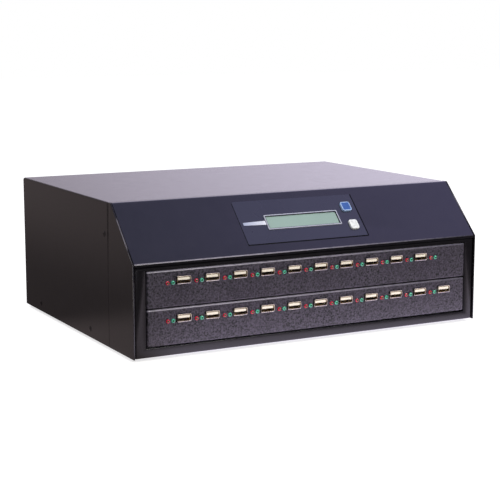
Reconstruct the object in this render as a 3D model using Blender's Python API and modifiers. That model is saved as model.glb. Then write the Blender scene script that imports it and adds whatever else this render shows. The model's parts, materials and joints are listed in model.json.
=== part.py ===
"""Desktop USB stick duplicator: two rows of sockets under a sloping control panel.

The case is folded steel. Metres, +Z up, front face towards -Y, origin on the ground
under the middle of the bounding box.
"""

import math

import bmesh
import bpy
from mathutils import Matrix, Vector

# Driving dimensions of the case
case_width = 0.356
case_depth = 0.275
case_height = 0.1287
front_height = 0.0813
slope_run = 0.0473
seam_back = 0.054
foot_height = 0.003

# Sheet metal
sheet = 0.0012
bend_radius = 0.0018
slope_bend_radius = 0.0013
seat_gap = 0.0003
seam_gap = 0.0006
cut_overrun = 0.002

# Front frame and the two port panels
border_width = 0.0118
sill_height = 0.0080
header_height = 0.0059
frame_recess = 0.0010
frame_return = 0.0110
panel_side_gap = 0.0007
panel_top_gap = 0.0006
panel_bottom_gap = 0.0015
panel_divide_gap = 0.0009
panel_return = 0.0122
panel_sheet = 0.0010
panel_bend = 0.0014
ear_width = 0.0060
lip_drop = 0.0025
lip_return = 0.0070

# Port sockets
lower_socket_count = 11
upper_socket_count = 10
first_socket_inset = 0.0344
last_socket_inset = 0.0240
socket_drop = 0.0093
socket_width = 0.0131
socket_height = 0.0057
socket_length = 0.0140
socket_proud = 0.0012
socket_wall = 0.00035
socket_mouth = 0.0092
socket_corner = 0.0009
lip_flare = 0.0006
lip_side_flare = 0.0002
lip_length = 0.0008
tongue_width = 0.0111
tongue_height = 0.0019
tongue_setback = 0.0011
tongue_headroom = 0.0004
socket_hole_gap = 0.0007

# Indicator lamps, sized by the free width between two sockets
lamp_diameter_share = 0.2047
lamp_gap_share = 0.1482
lamp_spacing_share = 0.3585
lamp_proud = 0.0014
lamp_drop = 0.0018
lamp_hole_gap = 0.0002
lamp_shoulder_share = 0.7
lamp_crown_share = 0.6
lamp_sides = 8

# Circuit boards
board_thickness = 0.0016
connector_length = 0.0300
connector_depth = 0.0060
connector_height = 0.0080
display_header_share = 0.3077

# Control panel, overlay, display and keys, measured along the slope
overlay_width = 0.1256
overlay_height = 0.0483
overlay_thickness = 0.0006
overlay_corner = 0.0015
overlay_centre_x = -0.0011
overlay_centre_up = 0.0345
window_width = 0.0765
window_height = 0.0161
window_centre_x = 0.0002
window_centre_up = 0.0332
window_border = 0.0013
window_proud = 0.0003
glass_setback = 0.0009
key_centre_x = 0.0503
upper_key_up = 0.0442
lower_key_up = 0.0234
upper_key_width = 0.0100
lower_key_width = 0.0088
key_height = 0.0102
key_corner = 0.0020
key_chamfer = 0.0004
key_proud = 0.0014
key_gap = 0.0003
key_flange = 0.0012
key_flange_height = 0.0010
key_travel = 0.0008
key_stem_diameter = 0.0040
plunger_diameter = 0.0034
plunger_height = 0.0008
tact_width = 0.0060
tact_height = 0.0030
board_drop = 0.0090
control_board_width = 0.1340
control_board_height = 0.0430
post_diameter = 0.0050
post_inset = 0.0050

# Seats for the control panel inside the cheeks
seat_flange = 0.0090
seat_stop = 0.0080

# Cover screws, placed from the front and from the bottom of the case
screw_head = 0.0056
screw_head_height = 0.0014
screw_crown_share = 0.36
screw_shank = 0.0030
screw_length = 0.0060
screw_sides = 8
upper_screw_back = 0.0617
upper_screw_height = 0.1001
lower_screw_front_back = 0.0995
lower_screw_rear_inset = 0.0436
lower_screw_height = 0.0079
upper_tab_height = 0.0160

# Base pan, feet and rear panel
pan_flange = 0.0150
foot_diameter = 0.0160
foot_chamfer = 0.0006
foot_inset_side = 0.0320
foot_inset_end = 0.0340
rear_return = 0.0100
standoff_diameter = 0.0060
standoff_height = 0.0060

# Fan, its guard and the rear cut-outs
fan_size = 0.0800
fan_depth = 0.0250
fan_bore = 0.0760
fan_corner = 0.0040
fan_screw_spacing = 0.0715
fan_screw_hole = 0.0044
fan_inset = 0.0880
hub_diameter = 0.0340
hub_depth = 0.0170
hub_chamfer_share = 0.14
motor_depth = 0.0040
strut_width = 0.0050
strut_depth_share = 0.75
strut_back_share = 0.9
shaft_diameter = 0.0030
shaft_length = 0.0110
running_gap = 0.0006
blade_count = 7
blade_thickness = 0.0014
blade_tip_gap = 0.0010
blade_root_chord = 0.0165
blade_tip_chord = 0.0215
blade_root_pitch = math.radians(46)
blade_tip_pitch = math.radians(27)
blade_steps = 4
bore_sides = 28
hub_sides = 24
shaft_sides = 10
wire_sides = 6
ring_sides = 18
guard_wire = 0.0015
guard_ring_count = 4
guard_inner_ring = 0.0200
guard_ring_step = 0.0180
guard_eye = 0.0075
ring_lift_share = 1.4
eye_depth_share = 0.9

# Mains inlet and switch, placed from the right side and the bottom of the case
inlet_inset = 0.0600
inlet_rise = 0.0390
inlet_bezel_width = 0.0308
inlet_bezel_height = 0.0240
inlet_bezel_depth = 0.0025
inlet_body_width = 0.0272
inlet_body_height = 0.0198
inlet_body_depth = 0.0200
inlet_mouth_width = 0.0246
inlet_mouth_height = 0.0168
inlet_mouth_depth = 0.0160
inlet_chamfer = 0.0040
pin_width = 0.0020
pin_height = 0.0040
pin_length = 0.0130
pin_spacing = 0.0140
earth_pin_rise = 0.0040
live_pin_fall = 0.0010
tab_width = 0.0063
tab_thickness = 0.0008
tab_length = 0.0080

switch_rise = 0.0730
switch_bezel_width = 0.0150
switch_bezel_height = 0.0210
switch_bezel_depth = 0.0020
switch_body_width = 0.0130
switch_body_height = 0.0190
switch_body_depth = 0.0140
switch_mouth_width = 0.0104
switch_mouth_height = 0.0156
switch_mouth_depth = 0.0085
rocker_gap = 0.0004
rocker_rise = 0.0016
rocker_tilt = math.radians(9)
rocker_low_angle = -math.radians(20)
rocker_keel_share = 0.45
trunnion_diameter = 0.0022
trunnion_length = 0.0008

# Vent slots in two rows, placed from the top of the case
vent_slot_count = 9
vent_slot_width = 0.0030
vent_slot_height = 0.0220
vent_slot_spacing = 0.0080
vent_drop = 0.0337
vent_row_spacing = 0.0352

# Boards and supply inside
main_board_width_share = 0.4382
main_board_depth = 0.1280
main_board_side_gap = 0.0220
main_board_front = 0.0560
display_header_back = 0.0160
chip_size = 0.0280
chip_height = 0.0030
chip_depth_share = 0.7
chip_row_share = 0.76
sink_size = 0.0340
sink_height = 0.0160
fin_thickness = 0.0015
fin_count = 7
supply_width = 0.0970
supply_depth_share = 0.4691
supply_height = 0.0400
supply_inset = 0.0660
supply_rear_gap = 0.0780
terminal_depth = 0.0120
terminal_root_share = 1.5
terminal_height = 0.0160
supply_slot_count = 8
supply_slot_width = 0.0030
supply_slot_length = 0.0360
supply_slot_spacing = 0.0110
supply_slot_depth = 0.0010

# Ribbons and harnesses
ribbon_thickness = 0.0010
ribbon_width = 0.0220
cable_diameter = 0.0050
cable_sides_resolution = 2
cable_steps = 3
ribbon_steps = 3

# Points that the cables pass, in shares: along and up for ribbons, across and along for wires
port_header_shares = ((0, 0), (0, 0.7), (-1, 1.5), (-2.8, 0.6))
port_lower_shares = ((0.8, -1.1), (0.06, -0.6), (0, 0))
port_bulge_share = 0.19
port_upper_shares = ((0, -0.4), (0, 0.5))
display_board_share = 0.5
display_turn_shares = (0.5, -0.6)
display_bulge_share = 0.6
display_header_shares = ((0.06, 1.5), (0, 0.5), (0, 0))
supply_terminal_shares = ((0, 0), (0, 1.5), (-1.5, 3))
supply_side_shares = ((1, 2.4), (0, -1))
supply_bend_share = 0.28
mains_route_shares = ((0, 0, 0), (0, 0.16, 0), (0.3, 0.38, 0.24), (0.7, 0.60, 0.74), (1, 0.82, 0.98), (1, 1, 1))

# Derived values
rocker_radius = switch_mouth_height / 2 - rocker_gap
rocker_depth = switch_mouth_depth / 3
rocker_high_angle = math.asin((rocker_depth + rocker_rise) / rocker_radius)
rocker_reach = switch_bezel_depth - rocker_depth + rocker_radius * math.sin(rocker_high_angle + rocker_tilt)
guard_reach = seat_gap + guard_wire * (2 + ring_lift_share) / 2
rear_reach = max(inlet_bezel_depth, rocker_reach, guard_reach)
front_reach = max(socket_proud, lamp_proud)
front_y = -(case_depth + rear_reach - front_reach) / 2
rear_y = front_y + case_depth
seam_y = front_y + seam_back
bottom_z = foot_height
top_z = bottom_z + case_height
front_top_z = bottom_z + front_height
slope_rise = case_height - front_height
slope_angle = math.atan2(slope_rise, slope_run)
half_width = case_width / 2
inner_half = half_width - sheet - seat_gap
socket_spacing = (case_width - 2 * border_width - 2 * panel_side_gap
                  - first_socket_inset - last_socket_inset) / (lower_socket_count - 1)
lamp_room = socket_spacing - socket_width
lamp_diameter = lamp_room * lamp_diameter_share
lamp_gap = lamp_room * lamp_gap_share
lamp_spacing = lamp_room * lamp_spacing_share
opening_half = half_width - border_width
opening_low = bottom_z + sill_height
opening_high = front_top_z - header_height
panel_half = opening_half - panel_side_gap
panel_height = (opening_high - panel_top_gap - opening_low - panel_bottom_gap
                - panel_divide_gap) / 2
lower_panel_low = opening_low + panel_bottom_gap
upper_panel_low = lower_panel_low + panel_height + panel_divide_gap
port_board_y = front_y - socket_proud + socket_length + seat_gap
port_board_back_y = port_board_y + board_thickness
frame_back_y = front_y + frame_recess + frame_return
rear_inner_y = rear_y - sheet
pan_floor_top = bottom_z + sheet
fan_centre_x = -half_width + fan_inset
fan_centre_z = (bottom_z + pan_flange + top_z - 2 * sheet - seat_gap) / 2
inlet_centre_x = half_width - inlet_inset
inlet_centre_z = bottom_z + inlet_rise
switch_centre_z = bottom_z + switch_rise
vent_centre_x = (fan_centre_x + inlet_centre_x) / 2
vent_top_z = top_z - vent_drop
main_board_width = case_width * main_board_width_share
main_board_x = -half_width + main_board_side_gap + main_board_width / 2
port_ribbon_x = main_board_x
display_ribbon_x = main_board_x + main_board_width * display_header_share
supply_x = half_width - supply_inset
supply_depth = case_depth * supply_depth_share
supply_front = case_depth - supply_rear_gap - supply_depth

parts = None
cutters = None
materials = {}


def clear_scene():
    for item in list(bpy.data.objects):
        bpy.data.objects.remove(item, do_unlink=True)


def new_collection(name):
    group = bpy.data.collections.new(name)
    bpy.context.scene.collection.children.link(group)
    return group


def make_material(name, colour, roughness, metallic):
    item = bpy.data.materials.new(name)
    item.use_nodes = True
    shader = item.node_tree.nodes["Principled BSDF"]
    shader.inputs["Base Color"].default_value = (*colour, 1.0)
    shader.inputs["Roughness"].default_value = roughness
    shader.inputs["Metallic"].default_value = metallic
    item.diffuse_color = (*colour, 1.0)
    materials[name] = item


def make_materials():
    make_material("black_powder_coat", (0.035, 0.032, 0.040), 0.45, 0.0)
    make_material("hammered_paint", (0.060, 0.056, 0.070), 0.35, 0.0)
    make_material("overlay_film", (0.030, 0.030, 0.045), 0.40, 0.0)
    make_material("white_plastic", (0.80, 0.82, 0.80), 0.40, 0.0)
    make_material("blue_plastic", (0.06, 0.20, 0.50), 0.35, 0.0)
    make_material("display_green", (0.30, 0.42, 0.36), 0.20, 0.0)
    make_material("socket_steel", (0.70, 0.66, 0.58), 0.30, 1.0)
    make_material("circuit_board", (0.02, 0.16, 0.06), 0.45, 0.0)
    make_material("black_plastic", (0.020, 0.020, 0.022), 0.45, 0.0)
    make_material("galvanised_steel", (0.55, 0.56, 0.57), 0.40, 1.0)
    make_material("bright_wire", (0.65, 0.65, 0.66), 0.25, 1.0)
    make_material("rubber", (0.025, 0.025, 0.025), 0.80, 0.0)
    make_material("grey_cable", (0.30, 0.30, 0.31), 0.55, 0.0)
    make_material("black_cable", (0.020, 0.020, 0.020), 0.50, 0.0)


def place_mesh(name, mesh, material_name, parent=None, group=None):
    item = bpy.data.objects.new(name, mesh)
    (group or parts).objects.link(item)
    if material_name and not mesh.materials:
        mesh.materials.append(materials[material_name])
    if parent:
        item.parent = parent
    return item


def make_object(name, shape, material_name, parent=None, smooth=None):
    bmesh.ops.recalc_face_normals(shape, faces=shape.faces)
    mesh = bpy.data.meshes.new(name)
    shape.to_mesh(mesh)
    shape.free()
    if smooth:
        mesh.shade_smooth()
        mesh.set_sharp_from_angle(angle=smooth)
    return place_mesh(name, mesh, material_name, parent)


def make_cutter(name, shape, parent=None):
    bmesh.ops.recalc_face_normals(shape, faces=shape.faces)
    mesh = bpy.data.meshes.new(name)
    shape.to_mesh(mesh)
    shape.free()
    item = place_mesh(name, mesh, None, parent, cutters)
    item.hide_render = True
    item.display_type = "WIRE"
    return item


def combine(item, tool, operation):
    step = item.modifiers.new(operation.lower() + "_" + tool.name, "BOOLEAN")
    step.operation = operation
    step.object = tool
    step.solver = "EXACT"


def cut(item, tool):
    combine(item, tool, "DIFFERENCE")


def join(item, tool):
    combine(item, tool, "UNION")


def round_edges(item, width, segments=2, angle=math.radians(30)):
    step = item.modifiers.new("bend", "BEVEL")
    step.width = width
    step.segments = segments
    step.limit_method = "ANGLE"
    step.angle_limit = angle


def thicken(item, thickness):
    step = item.modifiers.new("wall", "SOLIDIFY")
    step.thickness = thickness
    step.offset = -1.0
    step.use_even_offset = True
    step.use_quality_normals = True


def baked_mesh(item):
    bpy.context.view_layer.update()
    depsgraph = bpy.context.evaluated_depsgraph_get()
    mesh = bpy.data.meshes.new_from_object(item.evaluated_get(depsgraph))
    mesh.name = item.name + "_form"
    bpy.data.objects.remove(item, do_unlink=True)
    return mesh


def add_box(shape, low, high):
    low = Vector(low)
    high = Vector(high)
    verts = bmesh.ops.create_cube(shape, size=1.0)["verts"]
    bmesh.ops.scale(shape, vec=high - low, verts=verts)
    bmesh.ops.translate(shape, vec=(low + high) / 2, verts=verts)
    return verts


def add_bar(shape, start, end, radius, sides, end_radius=None):
    start = Vector(start)
    end = Vector(end)
    reach = end - start
    turn = reach.to_track_quat("Z", "Y").to_matrix().to_4x4()
    bmesh.ops.create_cone(
        shape, cap_ends=True, segments=sides, radius1=radius,
        radius2=radius if end_radius is None else end_radius, depth=reach.length,
        matrix=Matrix.Translation((start + end) / 2) @ turn)


def add_prism(shape, outline, reach):
    """Close an outline with one face and push it along reach."""
    face = shape.faces.new([shape.verts.new(point) for point in outline])
    pushed = bmesh.ops.extrude_face_region(shape, geom=[face])["geom"]
    moved = [item for item in pushed if isinstance(item, bmesh.types.BMVert)]
    bmesh.ops.translate(shape, vec=reach, verts=moved)


def add_strip(shape, path, reach):
    """Sweep an open path along reach, as a brake folds a sheet."""
    verts = [shape.verts.new(point) for point in path]
    edges = [shape.edges.new(pair) for pair in zip(verts, verts[1:])]
    pushed = bmesh.ops.extrude_edge_only(shape, edges=edges)["geom"]
    moved = [item for item in pushed if isinstance(item, bmesh.types.BMVert)]
    bmesh.ops.translate(shape, vec=reach, verts=moved)


def rounded_outline(width, height, radius, steps):
    """Points of a rectangle with arcs for corners, centred, counter-clockwise."""
    points = []
    for turn in range(4):
        right = 1 if turn in (0, 3) else -1
        upper = 1 if turn in (0, 1) else -1
        centre = Vector((right * (width / 2 - radius), upper * (height / 2 - radius)))
        for step in range(steps + 1):
            angle = math.pi / 2 * (turn + step / steps)
            points.append(centre + Vector((math.cos(angle), math.sin(angle))) * radius)
    return points


def add_loft(shape, rings, closed_ends=True):
    """Bridge rings of equal count, one after the other, and close both ends."""
    rows = [[shape.verts.new(point) for point in ring] for ring in rings]
    for row, next_row in zip(rows, rows[1:]):
        for index in range(len(row)):
            after = (index + 1) % len(row)
            shape.faces.new((row[index], row[after], next_row[after], next_row[index]))
    if closed_ends:
        shape.faces.new(rows[0])
        shape.faces.new(rows[-1])


def upright(points, x, z, y):
    """Carry outline points to the plane of the front face."""
    return [Vector((x + point.x, y, z + point.y)) for point in points]


def face_towards(shape, direction):
    """Turn an open surface so that its largest face looks along direction."""
    bmesh.ops.recalc_face_normals(shape, faces=shape.faces)
    largest = max(shape.faces, key=lambda face: face.calc_area())
    if largest.normal.dot(Vector(direction)) < 0:
        bmesh.ops.reverse_faces(shape, faces=shape.faces)


def make_sheet(name, shape, outward, material_name, thickness, radius, parent=None):
    """An open surface, bent at its creases and given its wall inwards."""
    face_towards(shape, outward)
    mesh = bpy.data.meshes.new(name)
    shape.to_mesh(mesh)
    shape.free()
    item = place_mesh(name, mesh, material_name, parent)
    round_edges(item, radius)
    thicken(item, thickness)
    return item


def open_box(low, high, open_side):
    """A box without the side that faces open_side."""
    shape = bmesh.new()
    add_box(shape, low, high)
    shape.normal_update()
    gone = [face for face in shape.faces if face.normal.dot(Vector(open_side)) > 0.9]
    bmesh.ops.delete(shape, geom=gone, context="FACES")
    return shape


def offset_path(points, distance):
    """Shift an open path of (y, z) points sideways, with mitred corners."""
    moved = []
    for index, point in enumerate(points):
        before = points[max(index - 1, 0)]
        after = points[min(index + 1, len(points) - 1)]
        into = (point - before).normalized() if index else (after - point).normalized()
        out = (after - point).normalized() if index < len(points) - 1 else into
        normal_in = Vector((-into.y, into.x))
        normal_out = Vector((-out.y, out.x))
        mitre = (normal_in + normal_out).normalized()
        moved.append(point + mitre * distance / mitre.dot(normal_in))
    return moved


def slope_path():
    """The control panel's folded line, from the seam down to its lip, as (y, z) points."""
    return [
        Vector((seam_y - seam_gap / 2, top_z)),
        Vector((front_y + slope_run, top_z)),
        Vector((front_y, front_top_z)),
        Vector((front_y, front_top_z - lip_drop)),
        Vector((front_y + lip_return, front_top_z - lip_drop)),
    ]


def make_slope_frame():
    """Axes on the slope: X across, Y up the slope from its lower edge, Z outward."""
    frame = bpy.data.objects.new("slope_frame", None)
    parts.objects.link(frame)
    frame.location = (0, front_y, front_top_z)
    frame.rotation_euler = (slope_angle, 0, 0)
    return frame


def screw_places():
    """The (back from the front, up from the bottom) places on each side of the case."""
    return (
        (upper_screw_back, upper_screw_height),
        (lower_screw_front_back, lower_screw_height),
        (case_depth - lower_screw_rear_inset, lower_screw_height),
    )


def make_top_cover():
    shape = bmesh.new()
    start = seam_y + seam_gap / 2
    path = [
        (-half_width, start, bottom_z),
        (-half_width, start, top_z),
        (half_width, start, top_z),
        (half_width, start, bottom_z),
    ]
    add_strip(shape, path, (0, rear_y - start, 0))
    cover = make_sheet("top_cover", shape, (0, 0, 1), "black_powder_coat", sheet, bend_radius)
    holes = bmesh.new()
    for side in (-1, 1):
        for back, up in screw_places():
            add_bar(holes,
                    (side * (half_width + cut_overrun), front_y + back, bottom_z + up),
                    (side * (half_width - sheet - cut_overrun), front_y + back, bottom_z + up),
                    screw_shank / 2 + seat_gap, screw_sides)
    cut(cover, make_cutter("cover_screw_holes", holes))


def make_cheek(name, side):
    outer = side * half_width
    inner = side * (half_width - sheet)
    outline = [
        (outer, front_y, bottom_z),
        (outer, front_y, front_top_z),
        (outer, front_y + slope_run, top_z),
        (outer, seam_y - seam_gap / 2, top_z),
        (outer, seam_y - seam_gap / 2, bottom_z),
    ]
    shape = bmesh.new()
    add_prism(shape, outline, (inner - outer, 0, 0))
    cheek = make_object(name, shape, "black_powder_coat")

    # The inward flange that the control panel lies on
    seat = offset_path(slope_path()[:3], sheet + seat_gap)
    run = seat[2] - seat[1]
    seat[2] = seat[1] + run.normalized() * (run.length - seat_stop)
    deep = offset_path(seat, sheet)
    ring = [(inner, point.x, point.y) for point in seat + deep[::-1]]
    flange = bmesh.new()
    root = side * sheet / 2
    outline = [(x + root, y, z) for x, y, z in ring]
    add_prism(flange, outline, (-side * (seat_flange + sheet / 2), 0, 0))
    join(cheek, make_cutter(name + "_seat", flange))

    # The tab behind the seam that the upper cover screw goes into
    tab_low = bottom_z + upper_screw_height - upper_tab_height / 2
    tab_high = tab_low + upper_tab_height
    tab_front = seam_y - seat_flange
    tab_back = front_y + upper_screw_back + (upper_screw_back - seam_back)
    near = side * (half_width - sheet - seat_gap)
    far = side * (half_width - 2 * sheet - seat_gap)
    root = side * (half_width - sheet / 2)
    tab = bmesh.new()
    add_box(tab, (min(near, far), tab_front + sheet, tab_low), (max(near, far), tab_back, tab_high))
    join(cheek, make_cutter(name + "_tab", tab))
    step = bmesh.new()
    add_box(step, (min(root, far), tab_front, tab_low), (max(root, far), seam_y - sheet, tab_high))
    join(cheek, make_cutter(name + "_tab_step", step))
    hole = bmesh.new()
    add_bar(hole,
            (side * (half_width + cut_overrun), front_y + upper_screw_back, bottom_z + upper_screw_height),
            (far - side * cut_overrun, front_y + upper_screw_back, bottom_z + upper_screw_height),
            screw_shank / 2 + seat_gap, screw_sides)
    cut(cheek, make_cutter(name + "_hole", hole))


def make_cover_screws():
    for side, side_name in ((-1, "left"), (1, "right")):
        for number, (back, up) in enumerate(screw_places(), 1):
            shape = bmesh.new()
            centre_y = front_y + back
            centre_z = bottom_z + up
            under = half_width + seat_gap
            add_bar(shape, (side * under, centre_y, centre_z),
                    (side * (under + screw_head_height), centre_y, centre_z),
                    screw_head / 2, screw_sides, screw_head * screw_crown_share)
            name = "cover_screw_" + side_name + "_" + str(number)
            screw = make_object(name, shape, "black_powder_coat")
            shank = bmesh.new()
            add_bar(shank, (side * (under + screw_head_height / 2), centre_y, centre_z),
                    (side * (under - screw_length), centre_y, centre_z),
                    screw_shank / 2, screw_sides)
            join(screw, make_cutter(name + "_shank", shank))


def make_front_frame():
    low = (-inner_half, front_y + frame_recess, bottom_z)
    high = (inner_half, frame_back_y, front_top_z - lip_drop - seat_gap)
    shape = open_box(low, high, (0, 1, 0))
    frame = make_sheet("front_frame", shape, (0, -1, 0), "black_powder_coat", sheet, bend_radius)
    hole = bmesh.new()
    add_box(hole, (-opening_half, front_y - cut_overrun, opening_low),
            (opening_half, front_y + frame_recess + sheet + cut_overrun, opening_high))
    cut(frame, make_cutter("frame_opening", hole))


def make_control_panel(slope):
    side_gap = seam_gap
    reach = half_width - sheet - side_gap
    shape = bmesh.new()
    path = [(-reach, point.x, point.y) for point in slope_path()]
    add_strip(shape, path, (2 * reach, 0, 0))
    panel = make_sheet("control_panel", shape, (0, -slope_rise, slope_run),
                       "black_powder_coat", sheet, slope_bend_radius)
    holes = bmesh.new()
    depth = Vector((0, 0, sheet + 2 * cut_overrun))
    base = -sheet - cut_overrun
    add_prism(holes, on_slope(window_width, window_height, seat_gap, window_border / 2,
                              window_centre_x, window_centre_up, base), depth)
    for width, up in ((upper_key_width, upper_key_up), (lower_key_width, lower_key_up)):
        add_prism(holes, on_slope(width, key_height, key_gap, key_corner,
                                  key_centre_x, up, base), depth)
    cut(panel, make_cutter("control_panel_holes", holes, slope))
    posts = bmesh.new()
    post_x = control_board_width / 2 - post_inset
    post_up = control_board_height / 2 - post_inset
    for x in (-post_x, post_x):
        for up in (window_centre_up - post_up, window_centre_up + post_up):
            add_bar(posts, (x, up, -sheet / 2), (x, up, -sheet - board_drop), post_diameter / 2, lamp_sides)
    join(panel, make_cutter("control_panel_posts", posts, slope))


def on_slope(width, height, gap, radius, centre_x, centre_up, level):
    """A rounded outline in the slope's own axes, grown by gap all round."""
    points = rounded_outline(width + 2 * gap, height + 2 * gap, radius + gap, 2)
    return [Vector((centre_x + point.x, centre_up + point.y, level)) for point in points]


def make_overlay(slope):
    shape = bmesh.new()
    add_prism(shape, on_slope(overlay_width, overlay_height, 0, overlay_corner,
                              overlay_centre_x, overlay_centre_up, seat_gap), (0, 0, overlay_thickness))
    overlay = make_object("panel_overlay", shape, "overlay_film", slope)
    holes = bmesh.new()
    depth = Vector((0, 0, overlay_thickness + 2 * cut_overrun))
    base = -cut_overrun
    add_prism(holes, on_slope(window_width, window_height, seat_gap, window_border / 2,
                              window_centre_x, window_centre_up, base), depth)
    for width, up in ((upper_key_width, upper_key_up), (lower_key_width, lower_key_up)):
        add_prism(holes, on_slope(width, key_height, key_gap, key_corner,
                                  key_centre_x, up, base), depth)
    cut(overlay, make_cutter("overlay_holes", holes, slope))


def make_display(slope):
    overlay_top = seat_gap + overlay_thickness
    board_top = -sheet - board_drop - seat_gap
    low = board_top + seat_gap
    frame = bmesh.new()
    add_prism(frame, on_slope(window_width, window_height, 0, window_border / 2,
                              window_centre_x, window_centre_up, low),
              (0, 0, overlay_top + window_proud - low))
    ring = make_object("display_frame", frame, "white_plastic", slope)
    hollow = bmesh.new()
    add_prism(hollow, on_slope(window_width - 2 * window_border, window_height - 2 * window_border, 0,
                               window_border / 4, window_centre_x, window_centre_up,
                               low - cut_overrun),
              (0, 0, overlay_top + window_proud - low + 2 * cut_overrun))
    cut(ring, make_cutter("display_frame_hollow", hollow, slope))
    glass = bmesh.new()
    inner_width = window_width - 2 * window_border - 2 * seat_gap
    inner_height = window_height - 2 * window_border - 2 * seat_gap
    add_prism(glass, on_slope(inner_width, inner_height, 0, window_border / 4,
                              window_centre_x, window_centre_up, low),
              (0, 0, overlay_top + window_proud - glass_setback - low))
    make_object("display_glass", glass, "display_green", slope)
    return board_top


def make_panel_board(slope, board_top):
    shape = bmesh.new()
    half = control_board_width / 2
    low_up = window_centre_up - control_board_height / 2
    high_up = window_centre_up + control_board_height / 2
    add_box(shape, (-half, low_up, board_top - board_thickness), (half, high_up, board_top))
    board = make_object("panel_board", shape, "circuit_board", slope)
    extra = bmesh.new()
    sink = board_top - board_thickness / 2
    for up in (upper_key_up, lower_key_up):
        add_box(extra, (key_centre_x - tact_width / 2, up - tact_width / 2, sink),
                (key_centre_x + tact_width / 2, up + tact_width / 2, board_top + tact_height))
    add_box(extra, (display_ribbon_x - connector_length / 2, window_centre_up - connector_height / 2,
                    board_top - board_thickness - connector_depth),
            (display_ribbon_x + connector_length / 2, window_centre_up + connector_height / 2, sink))
    join(board, make_cutter("panel_board_parts", extra, slope))
    plungers = bmesh.new()
    for up in (upper_key_up, lower_key_up):
        add_bar(plungers, (key_centre_x, up, board_top + tact_height / 2),
                (key_centre_x, up, board_top + tact_height + plunger_height),
                plunger_diameter / 2, lamp_sides)
    join(board, make_cutter("panel_board_plungers", plungers, slope))


def make_key(name, slope, width, up, board_top, material_name):
    """A cap with a flange under the panel and a stem over its switch."""
    seat = -sheet - seat_gap
    overlay_top = seat_gap + overlay_thickness
    crown = overlay_top + key_proud
    pivot = bpy.data.objects.new(name + "_slide", None)
    parts.objects.link(pivot)
    pivot.parent = slope
    pivot.location = (key_centre_x, up, 0)
    sections = (
        (2 * key_flange, seat - key_flange_height),
        (2 * key_flange, seat),
        (0, seat),
        (0, crown - key_chamfer),
        (-2 * key_chamfer, crown),
    )
    shape = bmesh.new()
    rings = []
    for growth, level in sections:
        corner = key_corner + growth / 2
        points = rounded_outline(width + growth, key_height + growth, corner, 2)
        rings.append([Vector((point.x, point.y, level)) for point in points])
    add_loft(shape, rings)
    key = make_object(name, shape, material_name, pivot)
    stem = bmesh.new()
    stem_end = board_top + tact_height + plunger_height + key_travel + seat_gap
    add_bar(stem, (0, 0, seat - key_flange_height / 2), (0, 0, stem_end),
            key_stem_diameter / 2, lamp_sides)
    join(key, make_cutter(name + "_stem", stem, pivot))


def socket_x(index):
    return -panel_half + first_socket_inset + index * socket_spacing


def lamp_places(index):
    """The two lamps left of a socket, the red one first."""
    near = socket_x(index) - socket_width / 2 - lamp_gap - lamp_diameter / 2
    return (near - lamp_spacing, near)


def make_port_panel(name, low_z, socket_count):
    high_z = low_z + panel_height
    back = front_y + panel_return
    shape = open_box((-panel_half, front_y, low_z), (panel_half, back, high_z), (0, 1, 0))
    panel = make_sheet(name, shape, (0, -1, 0), "hammered_paint", panel_sheet, panel_bend)
    ears = bmesh.new()
    ear_front = front_y + frame_recess + sheet + seat_gap
    reach = panel_half + ear_width
    for side in (-1, 1):
        edge = side * (panel_half - panel_sheet / 2)
        add_box(ears, (min(edge, side * reach), ear_front, low_z + panel_height / 4),
                (max(edge, side * reach), ear_front + panel_sheet, high_z - panel_height / 4))
    join(panel, make_cutter(name + "_ears", ears))
    holes = bmesh.new()
    centre_z = high_z - socket_drop
    front = front_y - cut_overrun
    back = front_y + panel_sheet + cut_overrun
    for index in range(socket_count):
        x = socket_x(index)
        half = socket_width / 2 + socket_hole_gap
        rise = socket_height / 2 + socket_hole_gap
        add_box(holes, (x - half, front, centre_z - rise), (x + half, back, centre_z + rise))
    for index in range(lower_socket_count):
        for x in lamp_places(index):
            add_bar(holes, (x, front, centre_z - lamp_drop), (x, back, centre_z - lamp_drop),
                    lamp_diameter / 2 + lamp_hole_gap, lamp_sides)
    cut(panel, make_cutter(name + "_holes", holes))


def make_port_board(name, low_z):
    """The board that the sockets stand on, with its lamps in columns through the panel."""
    half = panel_half - panel_sheet - seat_gap
    low = low_z + panel_sheet + seat_gap
    high = low_z + panel_height - panel_sheet - seat_gap
    shape = bmesh.new()
    add_box(shape, (-half, port_board_y, low), (half, port_board_back_y, high))
    board = make_object(name, shape, "circuit_board")
    lamps = bmesh.new()
    lamp_z = low_z + panel_height - socket_drop - lamp_drop
    back = port_board_y + board_thickness / 2
    radius = lamp_diameter / 2
    levels = (
        (back, radius),
        (front_y - lamp_proud + radius * lamp_shoulder_share, radius),
        (front_y - lamp_proud, radius * lamp_crown_share),
    )
    for index in range(lower_socket_count):
        for x in lamp_places(index):
            rings = []
            for level, reach in levels:
                rings.append([Vector((x + reach * math.cos(turn), level, lamp_z + reach * math.sin(turn)))
                              for turn in lamp_turns()])
            add_loft(lamps, rings)
    low_connector = low + connector_height / 2
    add_box(lamps, (port_ribbon_x - connector_length / 2, back, low_connector),
            (port_ribbon_x + connector_length / 2, port_board_back_y + connector_depth,
             low_connector + connector_height))
    join(board, make_cutter(name + "_parts", lamps))


def lamp_turns():
    return [2 * math.pi * step / lamp_sides for step in range(lamp_sides)]


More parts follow.
